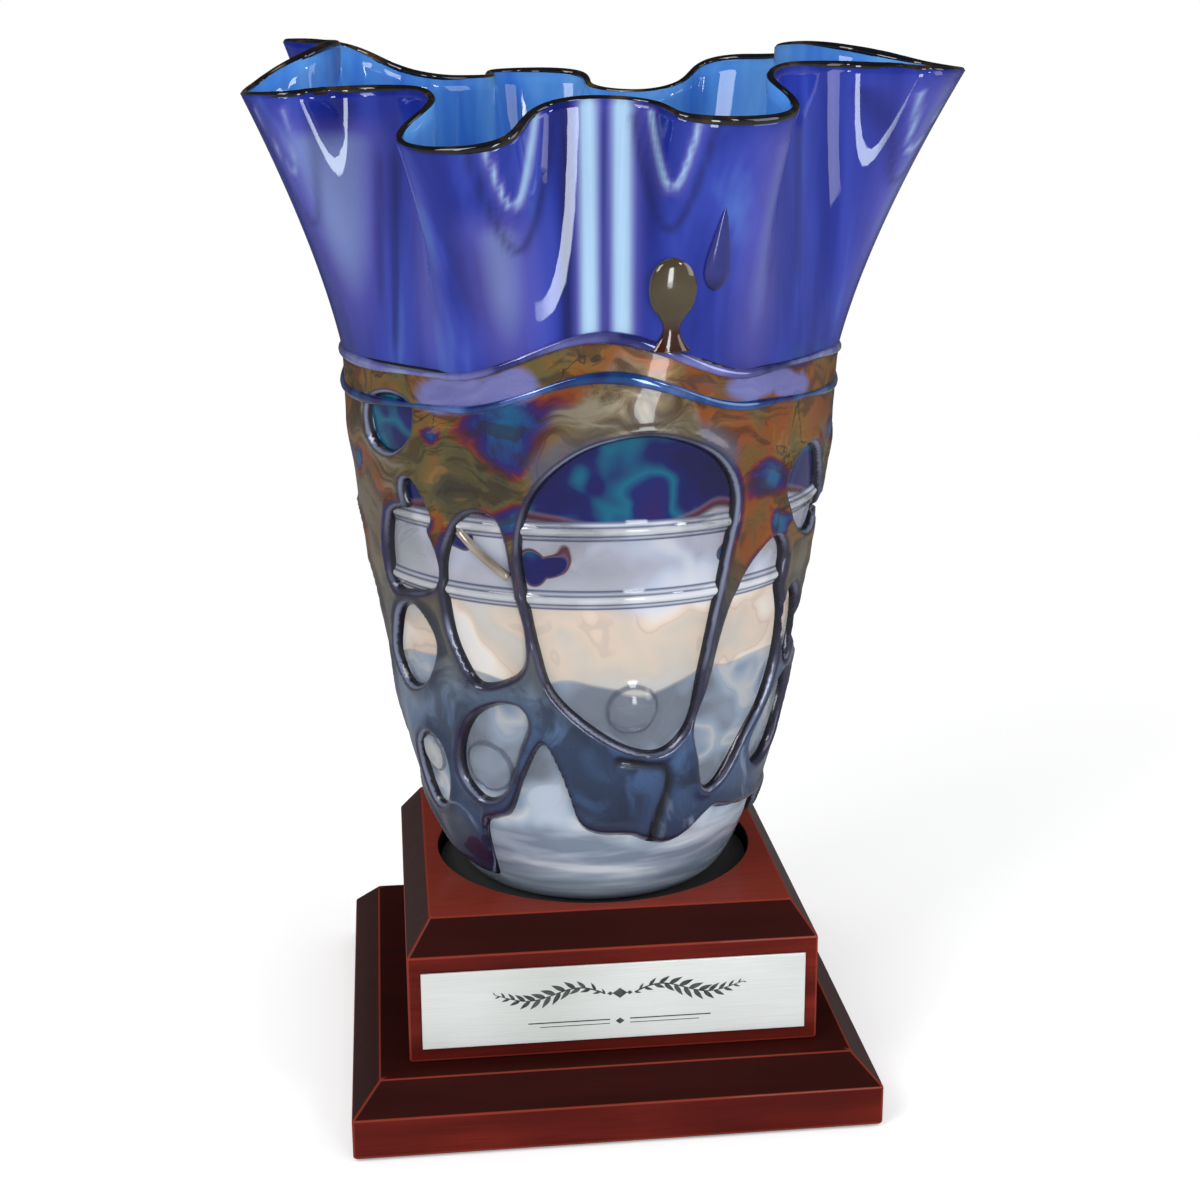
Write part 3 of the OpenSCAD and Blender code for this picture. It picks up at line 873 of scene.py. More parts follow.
def make_sprig_leaves(tree, side):
    """Leaves along one sprig's stem, as plain mesh."""
    stem = sprig_stem(side)
    curve = bpy.data.curves.new("stem", "CURVE")
    curve.dimensions = "3D"
    spline = curve.splines.new("POLY")
    spline.points.add(len(stem) - 1)
    for point, (x, z) in zip(spline.points, stem):
        point.co = (x * MM, PLATE_FACE, z * MM, 1)
    holder = linked("sprig_leaves", curve)
    grower = holder.modifiers.new("leaves", "NODES")
    grower.node_group = tree
    for name, value in LEAF_SIZES.items():
        grower[socket_named(tree, name)] = value
    bpy.context.view_layer.update()
    mesh = bpy.data.meshes.new_from_object(holder.evaluated_get(bpy.context.evaluated_depsgraph_get()))
    bpy.data.objects.remove(holder)
    return linked("sprig_leaves", mesh)


def make_engraving(mark_paint):
    """Two leafy sprigs that meet at a small lozenge, over a double rule: the plate's engraved ornament."""
    leaf = leaf_mesh()
    tree = leaf_tree(leaf, mark_paint)
    parts = [make_sprig_leaves(tree, side) for side in (-1, 1)]
    bpy.data.objects.remove(leaf)
    lines = [(sprig_stem(side), 0.5 - 0.25 * np.linspace(0, 1, STEM_POINTS)) for side in (-1, 1)]
    middle_x, middle_z = SPRIG_CENTRE
    for drop, reach, weight in RULES:
        for side in (-1, 1):
            x = middle_x + side * np.linspace(RULE_GAP, reach, RULE_POINTS)
            rule = np.column_stack([x, np.full(RULE_POINTS, middle_z - drop)])
            lines.append((rule, np.full(RULE_POINTS, weight)))
    for along, up, size in LOZENGES:
        x, z = middle_x + along, middle_z + up
        lines.append((np.array([(x - size, z), (x, z), (x + size, z)]), np.array([0.02, size * 1.5, 0.02])))
    for index, (path, widths) in enumerate(lines):
        points, faces = flat_mark(path, widths)
        line = solid(f"mark_{index}", points, faces, smooth=False)
        line.data.materials.append(mark_paint)
        parts.append(line)
    return joined("plate_engraving", parts)


def joined(name, parts):
    """One object made of several, which are used up."""
    bm = bmesh.new()
    for part in parts:
        bm.from_mesh(part.data)
    mesh = mesh_from(name, bm)
    mesh.materials.append(parts[0].data.materials[0])
    for part in parts:
        bpy.data.objects.remove(part)
    return linked(name, mesh)


# ------------------------------------------------------------------ finishes

def paint(red, green, blue):
    """A colour given as it looks on a screen, 0 to 255, turned into the linear one that shaders take."""
    return tuple((c / 255 / 12.92) if c / 255 <= 0.04045 else ((c / 255 + 0.055) / 1.055) ** 2.4
                 for c in (red, green, blue)) + (1.0,)


class Finish:
    """A material while it is made: its Principled shader and short ways to add nodes."""

    def __init__(self, name, **sockets):
        self.material = bpy.data.materials.new(name)
        self.material.use_nodes = True
        self.tree = self.material.node_tree
        self.shader = next(n for n in self.tree.nodes if n.type == "BSDF_PRINCIPLED")
        for socket, value in sockets.items():
            self.put(socket.replace("_", " "), value)

    def wire(self, socket, value):
        if isinstance(value, bpy.types.NodeSocket):
            self.tree.links.new(value, socket)
        elif value is not None:
            socket.default_value = value

    def put(self, name, value):
        """Gives one of the shader's own sockets its value."""
        self.wire(self.shader.inputs[name], value)

    def add(self, kind, inputs=(), **properties):
        node = self.tree.nodes.new(kind)
        for key, value in properties.items():
            setattr(node, key, value)
        for key, value in dict(inputs).items():
            self.wire(node.inputs[key], value)
        return node

    def where(self):
        return self.add("ShaderNodeTexCoord").outputs["Object"]

    def height(self):
        return self.add("ShaderNodeSeparateXYZ", {0: self.where()}).outputs["Z"]

    def number(self, name):
        return self.add("ShaderNodeAttribute", attribute_name=name).outputs["Fac"]

    def maths(self, operation, a, b=None, clamp=False):
        return self.add("ShaderNodeMath", {0: a, 1: b}, operation=operation, use_clamp=clamp).outputs[0]

    def vectors(self, operation, inputs):
        return self.add("ShaderNodeVectorMath", inputs, operation=operation)

    def times(self, a, b):
        return self.maths("MULTIPLY", a, b)

    def plus(self, a, b, clamp=False):
        return self.maths("ADD", a, b, clamp)

    def minus(self, a, b):
        return self.maths("SUBTRACT", a, b)

    def most(self, a, b):
        return self.maths("MAXIMUM", a, b)

    def off(self, value, middle):
        """How far a value is from a middle one, on either side."""
        return self.maths("ABSOLUTE", self.minus(value, middle))

    def between(self, value, low, high):
        """0 below low and 1 above high, smoothly; the other way round if low is the greater."""
        return self.add("ShaderNodeMapRange", {0: value, 1: low, 2: high},
                        interpolation_type="SMOOTHSTEP").outputs[0]

    def band(self, value, rise, fall):
        """1 from the end of rise to the start of fall, and 0 outside both."""
        return self.times(self.between(value, *rise), self.between(value, *fall))

    def spread(self, value, low, high):
        """A pattern of 0 to 1 spread over another range."""
        return self.add("ShaderNodeMapRange", {0: value, 3: low, 4: high}).outputs[0]

    def wavered(self, height, pattern, amount):
        """A height pushed up and down by a pattern."""
        return self.plus(height, self.times(self.minus(pattern, 0.5), amount))

    def mixed(self, factor, a, b):
        return self.add("ShaderNodeMix", {0: factor, 6: a, 7: b}, data_type="RGBA").outputs[2]

    def laid(self, colour, on, mask, strength):
        """A colour laid on another one where a mask shows it, at the given strength."""
        return self.mixed(self.times(mask, strength), on, colour)

    def stretched(self, vector, x, y, z):
        return self.add("ShaderNodeMapping", {"Vector": vector, "Scale": (x, y, z)}).outputs[0]

    def scaled(self, x, y, z):
        return self.stretched(self.where(), x, y, z)

    def noise(self, vector, scale, detail=3.0, roughness=0.5, distortion=0.0):
        node = self.add("ShaderNodeTexNoise", {"Vector": vector, "Scale": scale, "Detail": detail,
                                               "Roughness": roughness, "Distortion": distortion})
        return node.outputs["Fac"]

    def ramp(self, factor, *stops):
        """Colours along a pattern, each stop as its place and its red, green and blue on a screen."""
        node = self.add("ShaderNodeValToRGB", {0: factor})
        steps = node.color_ramp.elements
        while len(steps) < len(stops):
            steps.new(0.5)
        for step, (place, *colour) in zip(steps, stops):
            step.position = place
            step.color = paint(*colour)
        return node.outputs[0]

    def bump(self, height, distance, strength=1.0):
        node = self.add("ShaderNodeBump", {"Height": height, "Distance": distance, "Strength": strength})
        self.put("Normal", node.outputs[0])


def lustre_patches(f, spots, where, flat=1.0):
    """Soft patches round places on the wall, 1 at their middles, 0 well away; flat over 1 makes them low."""
    total = None
    if flat != 1.0:
        where = f.stretched(where, 1, 1, flat)
    for azimuth, z, radius in spots:
        x, y = around(float(body_r(min(z, SHOULDER_Z))) + 2, azimuth)
        centre = (x * MM, y * MM, z * MM * flat)
        away = f.vectors("DISTANCE", {0: where, 1: centre}).outputs["Value"]
        near = f.add("ShaderNodeMapRange", {0: away, 1: radius * MM * 1.7, 2: 0.0, 3: 0.0, 4: 1.0},
                     interpolation_type="SMOOTHSTEP").outputs[0]
        total = near if total is None else f.most(total, near)
    return total


def drifted(f, scale, amount):
    """Object coordinates pushed about by a slow noise, so that patterns run like melted glass."""
    noise = f.add("ShaderNodeTexNoise", {"Vector": f.where(), "Scale": scale, "Detail": 2.0})
    centred = f.vectors("SUBTRACT", {0: noise.outputs["Color"], 1: (0.5, 0.5, 0.5)}).outputs[0]
    pushed = f.vectors("SCALE", {0: centred, "Scale": amount}).outputs[0]
    return f.vectors("ADD", {0: f.where(), 1: pushed}).outputs[0]


# Heights in metres over which one colour of the wall gives way to the next, from the foot up
FOOT_TO_GREY = (0.096, 0.104)
GREY_TO_CREAM = (0.1550, 0.1568)
CREAM_TO_LILAC = (0.182, 0.188)
LILAC_TO_TEAL = (0.2085, 0.2132)
CLEAR_TO_COBALT = (0.246, 0.262)


def cobalt_lobes(f, painted_pale_reflection, outside):
    """Cobalt with a lilac lustre and painted pale and dark reflections outside, and a lighter blue inside."""
    streaks = f.noise(f.scaled(1, 1, 0.12), 46, 3, 0.55, 0.3)
    lustre = f.ramp(streaks, (0.30, 16, 30, 120), (0.46, 28, 46, 148), (0.60, 48, 66, 172),
                    (0.78, 84, 122, 204))
    # painted reflections: pale where lights would mirror in the folds, blue-black where dark surroundings
    # would
    lustre = f.mixed(painted_pale_reflection, lustre, f.ramp(painted_pale_reflection, (0.3, 124, 112, 194), (0.8, 182, 216, 244)))
    lustre = f.mixed(f.number("dark"), lustre, paint(14, 16, 70))
    inner = f.ramp(streaks, (0.34, 60, 122, 222), (0.5, 82, 150, 236), (0.7, 112, 176, 242))
    return f.mixed(outside, inner, lustre)


def clear_bands(f, level, swirl):
    """The clear wall's colours from the foot up: frosty, grey, cream, then lilac."""
    rolled = f.noise(f.scaled(1, 1, 7), 18, 3, 0.5, 0.3)
    foot = f.ramp(rolled, (0.36, 140, 154, 174), (0.50, 184, 196, 214), (0.62, 232, 238, 248))
    smoky = f.ramp(swirl, (0.40, 160, 168, 184), (0.50, 204, 222, 246), (0.56, 250, 252, 255),
                   (0.64, 182, 202, 232))
    cream = f.ramp(swirl, (0.38, 250, 246, 242), (0.46, 253, 240, 226), (0.52, 252, 228, 208),
                   (0.60, 253, 246, 238), (0.70, 242, 243, 249))
    lilac = f.ramp(swirl, (0.36, 222, 227, 236), (0.45, 236, 236, 252), (0.55, 222, 230, 252),
                   (0.66, 249, 249, 254))
    lower = f.mixed(f.between(level, *FOOT_TO_GREY), foot, smoky)
    lower = f.mixed(f.between(level, *GREY_TO_CREAM), lower, cream)
    return f.mixed(f.between(level, *CREAM_TO_LILAC), lower, lilac)


def painted_lens_and_thread_lines(f, wall, z, swirl):
    """Painted dark lines and highlights round the clear lenses and along the clear threads, standing in for
    light caught and bent by them.
    """
    lens = lustre_patches(f, [place[:3] for place in LENSES], f.where())
    # painted dark ring round each lens
    wall = f.laid(paint(104, 112, 134), wall, f.band(lens, (0.26, 0.34), (0.48, 0.40)), 0.7)
    # painted white highlight inside each lens
    painted_lens_glint = f.times(f.between(lens, 0.52, 0.62), f.between(swirl, 0.46, 0.52))
    wall = f.mixed(painted_lens_glint, wall, paint(252, 253, 255))
    # painted highlights along each thread, with painted dark lines beside them
    thread = f.maths("MINIMUM", f.off(z, THREADS[0] * MM), f.off(z, THREADS[1] * MM))
    thread = f.maths("DIVIDE", thread, 4 * MM)
    return f.mixed(f.between(thread, 0.9, 0.75), wall,
                   f.ramp(thread, (0.0, 250, 251, 254), (0.24, 236, 239, 248), (0.36, 112, 118, 148),
                          (0.54, 232, 236, 248), (0.74, 104, 112, 150)))


def haze(f, z, level, swirl):
    """How cloudy the clear wall is: in swirls in the cream and lilac panes, and evenly below them."""
    in_panel = f.times(f.between(level, *GREY_TO_CREAM), f.between(z, 0.247, 0.240))
    swirled = f.plus(0.24, f.times(f.between(swirl, 0.42, 0.60), 0.22))
    cloudy = f.plus(f.times(f.between(z, 0.200, 0.180), 0.2), swirled)
    low = f.plus(f.times(f.between(z, 0.172, 0.160), 0.36), f.times(f.between(level, 0.125, 0.095), 0.3))
    return f.most(f.times(in_panel, cloudy), low)


def wall_glass():
    """Cobalt glass with a lilac lustre above, clear below with a teal film under the band."""
    f = Finish("cobalt_to_clear_glass", Roughness=0.03, IOR=1.45, Coat_Weight=0.5, Coat_Roughness=0.02)
    z = f.height()
    level = f.wavered(z, f.noise(f.scaled(1, 1, 0.4), 22, 2), 0.026)
    outside = f.number("outside")
    painted_pale_reflection = f.number("pale")
    run = drifted(f, 30, 0.03)
    swirl = f.noise(run, 34, 2, 0.45, 0.2)
    milky = f.between(lustre_patches(f, MILKY_SPOTS, run), 0.3, 0.75)
    lower = f.mixed(milky, clear_bands(f, level, swirl), paint(222, 234, 252))
    film = f.most(f.between(level, *LILAC_TO_TEAL), f.between(lustre_patches(f, FILM_SPOTS, run), 0.25, 0.4))
    teal = f.ramp(swirl, (0.34, 16, 12, 66), (0.46, 14, 20, 92), (0.53, 4, 98, 128), (0.58, 14, 26, 100),
                  (0.72, 46, 18, 88))
    verge = f.times(f.times(film, f.minus(1.0, film)), 3.9)
    filmed = f.mixed(verge, f.mixed(film, lower, teal), paint(96, 18, 52))
    in_cream = f.band(z, (0.112, 0.122), (0.182, 0.176))
    contour = f.times(f.between(f.off(swirl, 0.515), 0.010, 0.003), in_cream)
    filmed = f.laid(paint(178, 176, 186), filmed, contour, 0.25)
    threaded = painted_lens_and_thread_lines(f, filmed, z, swirl)
    lobes = cobalt_lobes(f, painted_pale_reflection, outside)
    f.put("Base Color", f.mixed(f.between(level, *CLEAR_TO_COBALT), threaded, lobes))
    coated = f.times(f.between(level, 0.240, 0.262), outside)
    # less see-through under the painted pale reflections
    coated = f.times(coated, f.plus(0.36, f.times(painted_pale_reflection, 0.4)))
    hazed = f.most(haze(f, z, level, swirl), f.most(f.times(film, 0.8), f.times(milky, 0.55)))
    f.put("Transmission Weight", f.minus(1.0, f.most(coated, hazed)))
    f.bump(f.noise(f.where(), 60, 2), 0.0006, 0.35)
    return f.material


def bronze_band(f, run, inset, cloud, fine):
    """Olive and bronze with purple and blue patches, dark curdled lines, and lilac and tan places."""
    film = f.plus(f.times(cloud, 0.88), f.times(fine, 0.12))
    bronze = f.ramp(film, (0.32, 62, 58, 40), (0.41, 98, 86, 46), (0.47, 128, 84, 24), (0.53, 136, 66, 12),
                    (0.60, 104, 80, 34), (0.70, 114, 110, 94))
    patches = f.plus(lustre_patches(f, LUSTRE_SPOTS, run, 1.6), f.times(f.minus(fine, 0.5), 0.5), clamp=True)
    near_edge = f.times(f.between(inset, 0.42, 0.12), f.between(cloud, 0.44, 0.56))
    iris = f.ramp(f.most(patches, f.times(near_edge, 0.7)), (0.0, 134, 68, 14), (0.28, 122, 36, 18),
                  (0.44, 66, 14, 74), (0.60, 26, 24, 108), (0.88, 8, 86, 132))
    band = f.mixed(f.between(f.most(patches, near_edge), 0.14, 0.34), bronze, iris)
    band = f.laid(paint(46, 26, 12), band, f.between(f.off(cloud, 0.445), 0.006, 0.002), 0.75)
    flow = f.noise(f.stretched(run, 1, 1, 3.4), 44, 4, 0.6, 0.8)
    band = f.laid(paint(40, 26, 22), band, f.between(flow, 0.52, 0.42), 0.6)
    band = f.laid(paint(166, 116, 56), band, f.between(flow, 0.60, 0.68), 0.4)
    over_arch = f.between(lustre_patches(f, HALO_SPOTS, f.where()), 0.1, 0.4)
    band = f.laid(paint(72, 86, 110), band, f.times(f.between(inset, 0.9, 0.4), over_arch), 0.75)
    lilac_area = f.between(lustre_patches(f, LILAC_SPOTS, drifted(f, 60, 0.012), 1.9), 0.2, 0.55)
    band = f.laid(f.mixed(flow, paint(84, 86, 160), paint(136, 140, 202)), band, lilac_area, 0.9)
    tan_area = f.between(lustre_patches(f, TAN_SPOTS, run), 0.2, 0.6)
    tan = f.ramp(flow, (0.4, 74, 56, 30), (0.5, 104, 92, 66), (0.6, 132, 126, 108))
    return f.laid(tan, band, tan_area, 0.85)


def smoky_foot(f, run, inset, level):
    """Navy at the web's drips, then grey blue, then olive under the bronze, with dark and pale sags."""
    foot = f.ramp(f.between(level, 0.085, 0.205), (0.0, 26, 36, 68), (0.30, 78, 110, 158),
                  (0.55, 106, 124, 148), (0.75, 118, 118, 106), (1.0, 104, 90, 54))
    sag = f.noise(f.stretched(run, 1, 1, 0.45), 40, 4, 0.6, 0.6)
    foot = f.laid(paint(24, 30, 52), foot, f.between(sag, 0.54, 0.38), 0.75)
    foot = f.laid(paint(28, 34, 58), foot, f.between(inset, 0.75, 0.2), 0.5)
    return f.laid(paint(150, 166, 190), foot, f.between(sag, 0.60, 0.70), 0.5)


def web_lustre():
    """The web's outer skin: olive and bronze, purple and blue in patches, grey and navy towards the foot.

    Along every edge, lines are painted: near black where the rounded edge turns away, as painted shade, a
    pale line along the bead, as painted highlight, then indigo.
    """
    f = Finish("bronze_lustre", IOR=1.5, Metallic=0.3, Coat_Weight=0.7, Coat_Roughness=0.03)
    run = drifted(f, 26, 0.045)
    cloud = f.noise(run, 20, 4, 0.5, 0.3)
    fine = f.noise(run, 110, 3, 0.5, 1.2)
    inset = f.number("inset")
    level = f.wavered(f.height(), cloud, 0.03)
    outer = f.mixed(f.between(level, 0.176, 0.204), smoky_foot(f, run, inset, level),
                    bronze_band(f, run, inset, cloud, fine))
    # painted shade and painted highlight along the web's rounded edges
    bead_highlight_line = f.ramp(f.noise(f.where(), 24, 2), (0.42, 52, 50, 74), (0.56, 128, 134, 160))
    edge_shade_line = f.ramp(inset, (0.0, 22, 20, 32), (0.06, 26, 24, 40), (0.19, 44, 36, 72))
    lines = f.mixed(f.band(inset, (0.055, 0.10), (0.17, 0.12)), edge_shade_line, bead_highlight_line)
    edged = f.mixed(f.between(inset, 0.24, 0.13), outer, lines)
    # painted shade: near black in the groove along each fold
    f.put("Base Color", f.mixed(f.number("seam"), edged, paint(18, 16, 22)))
    f.put("Roughness", f.spread(fine, 0.2, 0.4))
    f.bump(f.noise(f.where(), 90, 3), 0.0005, 0.5)
    return f.material


def web_inside():
    """The web as it is seen through the clear wall: teal and indigo high up, peach, lilac and cream below,
    all glowing as painted light.
    """
    f = Finish("inner_lustre_glow", Roughness=0.25, IOR=1.5)
    z = f.height()
    cloud = f.noise(drifted(f, 30, 0.03), 30, 3, 0.5, 0.4)
    fine = f.noise(f.scaled(1, 1, 2.2), 70, 3)
    deep = f.ramp(cloud, (0.36, 36, 34, 130), (0.46, 30, 60, 150), (0.53, 16, 120, 150), (0.62, 30, 70, 150),
                  (0.7, 74, 40, 140))
    pale = f.ramp(cloud, (0.34, 196, 198, 228), (0.44, 226, 212, 214), (0.52, 240, 216, 190),
                  (0.6, 226, 206, 196), (0.68, 176, 184, 222), (0.78, 140, 170, 210))
    low = f.mixed(f.between(z, 0.080, 0.105), paint(140, 156, 184), pale)
    seen = f.mixed(f.between(f.wavered(z, fine, 0.035), 0.180, 0.190), low, deep)
    f.put("Base Color", seen)
    # painted light: the inner skin glows in its own colours, more strongly above its lowest part
    f.put("Emission Color", seen)
    f.put("Emission Strength", f.spread(f.between(z, 0.098, 0.118), 0.6, 1.6))
    f.bump(fine, 0.0006, 0.5)
    return f.material


def lip_glass():
    f = Finish("lip_edge_shade_glass", Roughness=0.06, IOR=1.5, Coat_Weight=1.0, Metallic=0.3)
    streak = f.noise(f.where(), 70, 3)
    # near black as painted shade of the glass's edge, with amber places as painted glints
    f.put("Base Color", f.ramp(streak, (0.35, 10, 10, 18), (0.55, 26, 22, 24), (0.7, 84, 66, 38)))
    return f.material


def trail_glass(name, low, middle, high):
    f = Finish(name, Roughness=0.1, IOR=1.5, Coat_Weight=1.0, Metallic=0.4, Transmission_Weight=0.25)
    streak = f.noise(f.where(), 40, 3, 0.5, 0.5)
    f.put("Base Color", f.ramp(streak, (0.36, *low), (0.5, *middle), (0.64, *high)))
    return f.material


def drop_glass(name, low, high, knot, knot_z):
    """Lustred drop with a darker knot at its foot, which ends 6 mm above knot_z."""
    f = Finish(name, Roughness=0.12, IOR=1.5, Coat_Weight=1.0, Metallic=0.1, Transmission_Weight=0.6)
    body = f.mixed(f.noise(f.where(), 120, 3), paint(*low), paint(*high))
    at_knot = f.between(f.height(), knot_z + 0.006, knot_z)
    f.put("Base Color", f.mixed(at_knot, body, paint(*knot)))
    return f.material


def wood_lacquer():
    """Rosewood under gloss lacquer, with painted light: painted highlights on the block's top and along the
    arrises, painted dark reflections on the bevels and the plinth's ledge, and painted shade in the well.
    """
    f = Finish("rosewood_lacquer", IOR=1.3, Coat_Weight=0.12, Coat_Roughness=0.03, Specular_IOR_Level=0.1)
    grain = f.noise(f.scaled(0.35, 5, 5), 16, 4, 0.55, 0.6)
    fleck = f.noise(f.scaled(2, 40, 40), 26, 2, 0.6)
    figure = f.plus(f.times(grain, 0.6), f.times(f.noise(f.where(), 12, 2), 0.4))
    wood = f.ramp(figure, (0.36, 68, 17, 14), (0.5, 88, 24, 18), (0.64, 112, 33, 24))
    normal = f.add("ShaderNodeNewGeometry").outputs["Normal"]
    facing = f.add("ShaderNodeSeparateXYZ", {0: normal}).outputs["Z"]
    flat_top = f.between(facing, 0.9, 0.97)
    high = f.between(f.height(), 0.03, 0.05)
    # painted highlight: the block's top made paler, standing in for its sheen
    wood = f.mixed(f.times(flat_top, f.times(high, 0.7)), wood, paint(134, 52, 38))
    # painted dark reflection: the plinth's ledge made near black
    wood = f.laid(paint(34, 11, 9), wood, f.times(flat_top, f.minus(1.0, high)), 0.85)
    wood = f.laid(paint(58, 13, 11), wood, f.between(fleck, 0.54, 0.68), 0.25)
    # painted dark reflection: the bevels made near black
    wood = f.laid(paint(34, 12, 10), wood, f.number("bevel"), 0.88)
    # painted highlight along the arrises and the well's rim
    wood = f.laid(paint(168, 68, 50), wood, f.number("arris"), 0.4)
    # painted shade: near black down the well's wall and floor
    f.put("Base Color", f.mixed(f.number("well"), wood, paint(20, 6, 5)))
    f.put("Roughness", f.spread(grain, 0.3, 0.45))
    f.bump(f.plus(grain, f.times(f.noise(f.where(), 9, 1), 6.0)), 0.0004, 0.12)
    return f.material


def felt():
    f = Finish("black_felt", Roughness=0.95, Sheen_Weight=0.08, Sheen_Roughness=0.6)
    fibres = f.noise(f.where(), 1400, 4, 0.7)
    f.put("Base Color", f.ramp(fibres, (0.35, 7, 5, 5), (0.65, 24, 17, 15)))
    f.bump(fibres, 0.0003, 0.7)
    return f.material


def plate_silver():
    f = Finish("brushed_silver_plate", Metallic=0.35, Coat_Weight=0.2)
    brushed = f.noise(f.scaled(2, 40, 260), 30, 4, 0.6)
    tone = f.plus(f.times(brushed, 0.4), f.times(f.noise(f.where(), 16, 1), 0.6))
    f.put("Base Color", f.ramp(tone, (0.35, 208, 211, 206), (0.65, 240, 241, 238)))
    f.put("Roughness", f.spread(brushed, 0.28, 0.42))
    f.bump(brushed, 0.0001, 0.2)
    return f.material


def engraved_mark():
    f = Finish("blackened_engraving", Roughness=0.5)
    tone = f.noise(f.where(), 500, 3)
    f.put("Base Color", f.ramp(tone, (0.35, 46, 48, 48), (0.65, 78, 80, 80)))
    f.bump(tone, 0.00005, 0.4)
    return f.material


def tape_foam():
    f = Finish("mounting_tape", Roughness=0.85)
    tone = f.noise(f.where(), 600, 3)
    f.put("Base Color", f.ramp(tone, (0.3, 190, 188, 180), (0.7, 226, 224, 216)))
    f.bump(tone, 0.0001, 0.6)
    return f.material


def screw_zinc():
    f = Finish("zinc_screws", Metallic=1.0)
    tone = f.noise(f.where(), 240, 3)
    f.put("Base Color", f.ramp(tone, (0.3, 150, 152, 156), (0.7, 196, 198, 202)))
    f.put("Roughness", f.spread(tone, 0.25, 0.4))
    return f.material


def grey(tone):
    """An even grey, in the linear measure that shaders take."""
    return (tone, tone, tone, 1)


def floor_paper():
    """Pale paper that fades out far from the piece, so that no horizon shows."""
    f = Finish("pale_floor", Roughness=0.9)
    tone = f.noise(f.where(), 3, 2)
    pale = f.add("ShaderNodeMapRange", {0: tone, 1: 0.3, 2: 0.7, 3: 0.93, 4: 0.96}).outputs[0]
    ray = f.add("ShaderNodeLightPath")
    f.put("Base Color", f.mixed(ray.outputs["Is Glossy Ray"], pale, grey(0.3)))
    f.put("Emission Color", grey(1))
    f.put("Emission Strength", f.times(ray.outputs["Is Camera Ray"], 0.25))
    away = f.vectors("LENGTH", {0: f.where()}).outputs["Value"]
    f.put("Alpha", f.between(away, 1.3, 0.45))
    return f.material


# ------------------------------------------------------------------ putting it together

def finish_piece(piece, materials, body, replaced=()):
    piece.data.materials.clear()
    for material in materials:
        piece.data.materials.append(material)
    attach(piece, body)
    if replaced:
        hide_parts(*replaced)


wood = wood_lacquer()
mark = engraved_mark()
low_trail = trail_glass("indigo_trail_glass", (34, 22, 96), (30, 84, 150), (104, 128, 200))
strand = trail_glass("strand_glass", (120, 84, 52), (196, 186, 172), (226, 224, 226))
high_trail = trail_glass("lilac_trail_glass", (46, 50, 120), (128, 128, 204), (168, 190, 224))

finish_piece(make_wall(), [wall_glass()], "vase",
             ("vase_wall", "ring_thread_upper", "ring_thread_lower", "clear_lenses"))
finish_piece(make_lip(), [lip_glass()], "vase", ("lip_wrap",))
finish_piece(make_web(), [web_lustre(), web_inside()], "vase", ("web_overlay", "web_drips"))
finish_piece(make_trail("wavy_trail_high", TRAILS[1], 0.25), [high_trail], "vase",
             ("wavy_trail_upper",))
finish_piece(make_trail("wavy_trail_low", TRAILS[0], 1.5), [low_trail], "vase",
             ("wavy_trail_lower",))
finish_piece(make_strand(), [strand], "vase")
finish_piece(make_drop("bronze_drop", 281, BRONZE_DROP, 0.4),
             [drop_glass("bronze_drop_glass", (86, 74, 50), (120, 104, 72), (78, 34, 10), 0.270)],
             "vase", ("bronze_teardrop",))
finish_piece(make_drop("blue_drop", 289, BLUE_DROP, 0.4),
             [drop_glass("blue_drop_glass", (40, 44, 140), (70, 76, 180), (30, 30, 110), 0.283)],
             "vase", ("blue_teardrop",))
finish_piece(make_plinth(), [wood], "base", ("lower_plinth",))
finish_piece(make_block(), [wood], "base", ("upper_block",))
finish_piece(bevelled_sheet("plate", PLATE_LOW, PLATE_HIGH, PLATE_BEVEL), [plate_silver()], "base",
             ("name_plate",))
finish_piece(make_engraving(mark), [mark], "base")

for node_name, material in (("assembly_screws", screw_zinc()), ("underside_felt", felt()),
                            ("well_felt", felt()), ("plate_tape", tape_foam())):
    cad_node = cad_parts[node_name]
    cad_node.data.materials.clear()
    cad_node.data.materials.append(material)


# ------------------------------------------------------------------ floor, light and camera

def make_floor():
    bm = bmesh.new()
    bmesh.ops.create_grid(bm, x_segments=2, y_segments=2, size=4)
    mesh = mesh_from("floor", bm)
    mesh.materials.append(floor_paper())
    linked("floor", mesh)


def soft_light(name, place, aim, width, height, power, tint=(1, 1, 1)):
    lamp = bpy.data.lights.new(name, "AREA")
    lamp.shape = "RECTANGLE"
    lamp.size = width
    lamp.size_y = height
    lamp.energy = power
    lamp.color = tint
    holder = linked(name, lamp)
    holder.location = place
    holder.rotation_euler = (Vector(aim) - Vector(place)).to_track_quat("-Z", "Y").to_euler()


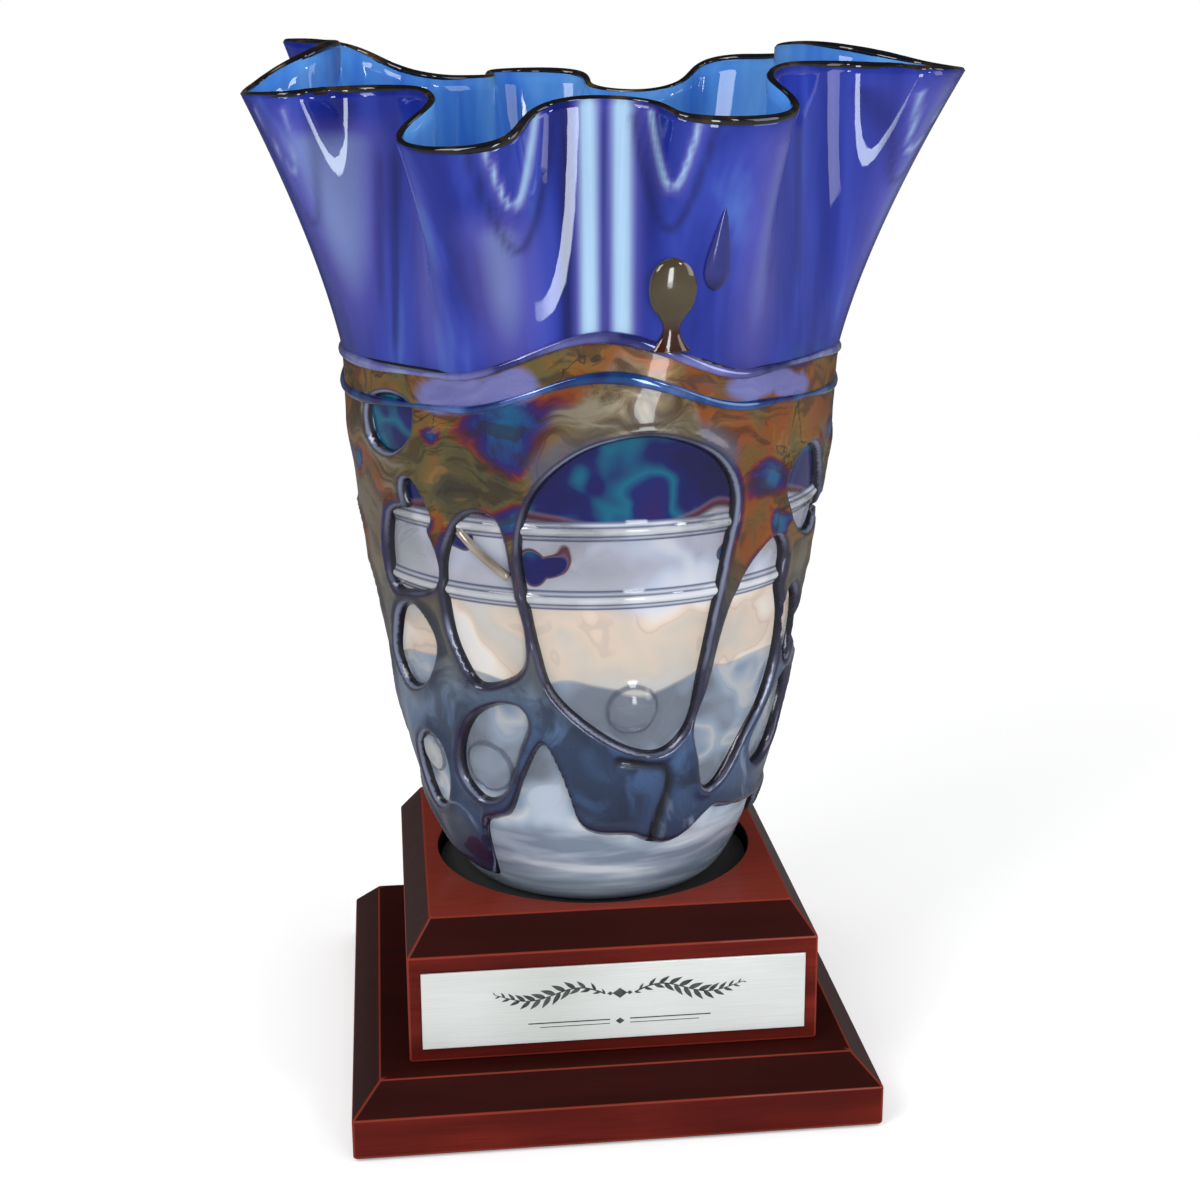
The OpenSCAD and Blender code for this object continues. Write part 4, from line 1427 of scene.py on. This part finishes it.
def make_sky():
    """A white room. Where it is only mirrored in a surface it is dimmer overhead and behind the piece."""
    world = bpy.data.worlds.new("pale_room")
    bpy.context.scene.world = world
    world.use_nodes = True
    tree = world.node_tree
    sky = tree.nodes["Background"]
    sky.inputs["Color"].default_value = (1, 1, 1, 1)
    ray = tree.nodes.new("ShaderNodeLightPath")
    direction = tree.nodes.new("ShaderNodeSeparateXYZ")
    tree.links.new(tree.nodes.new("ShaderNodeTexCoord").outputs["Generated"], direction.inputs[0])

    def dimmed(axis, low, high, strength_low, strength_high):
        """The strength along one axis of the direction looked in."""
        fade = tree.nodes.new("ShaderNodeMapRange")
        fade.interpolation_type = "SMOOTHSTEP"
        for index, value in enumerate((low, high, strength_low, strength_high), start=1):
            fade.inputs[index].default_value = value
        tree.links.new(direction.outputs[axis], fade.inputs[0])
        return fade.outputs[0]

    mirrored = tree.nodes.new("ShaderNodeMath")
    mirrored.operation = "MULTIPLY"
    tree.links.new(dimmed("Z", 0.0, 0.5, 0.28, 0.05), mirrored.inputs[0])
    tree.links.new(dimmed("Y", 0.3, 0.85, 1.0, 0.25), mirrored.inputs[1])
    softened = tree.nodes.new("ShaderNodeMix")
    softened.inputs[2].default_value = 1.0
    softened.inputs[3].default_value = 0.66
    tree.links.new(ray.outputs["Is Diffuse Ray"], softened.inputs[0])
    choice = tree.nodes.new("ShaderNodeMix")
    tree.links.new(ray.outputs["Is Glossy Ray"], choice.inputs[0])
    tree.links.new(softened.outputs[0], choice.inputs[2])
    tree.links.new(mirrored.outputs[0], choice.inputs[3])
    tree.links.new(choice.outputs[0], sky.inputs["Strength"])


def make_camera():
    lens = bpy.data.cameras.new("camera")
    lens.lens = 60.12
    lens.sensor_width = 36
    lens.shift_x = -0.0355
    lens.shift_y = -0.0022
    lens.clip_start = 0.01
    holder = linked("camera", lens)
    holder.location = (-0.0694, -0.6806, 0.3559)
    holder.rotation_euler = (math.radians(74.42), 0, math.radians(-7.34))
    bpy.context.scene.camera = holder


make_floor()
make_sky()
soft_light("key", (-0.9, -0.8, 1.2), (0, 0, 0.2), 0.7, 0.7, 8)
soft_light("fill", (1.1, -0.5, 0.6), (0, 0, 0.2), 0.5, 0.9, 3)
soft_light("front_strip", (0.3, -1.1, 0.2), (0, 0, 0.28), 0.2, 0.7, 4, (0.85, 0.95, 1))
soft_light("left_window", (-0.75, -0.9, 0.75), (0, 0, 0.25), 0.12, 0.2, 0.9)
soft_light("right_window", (0.7, -0.8, 0.9), (0, 0, 0.25), 0.1, 0.22, 0.9)
make_camera()
bpy.context.scene.view_settings.view_transform = "Standard"
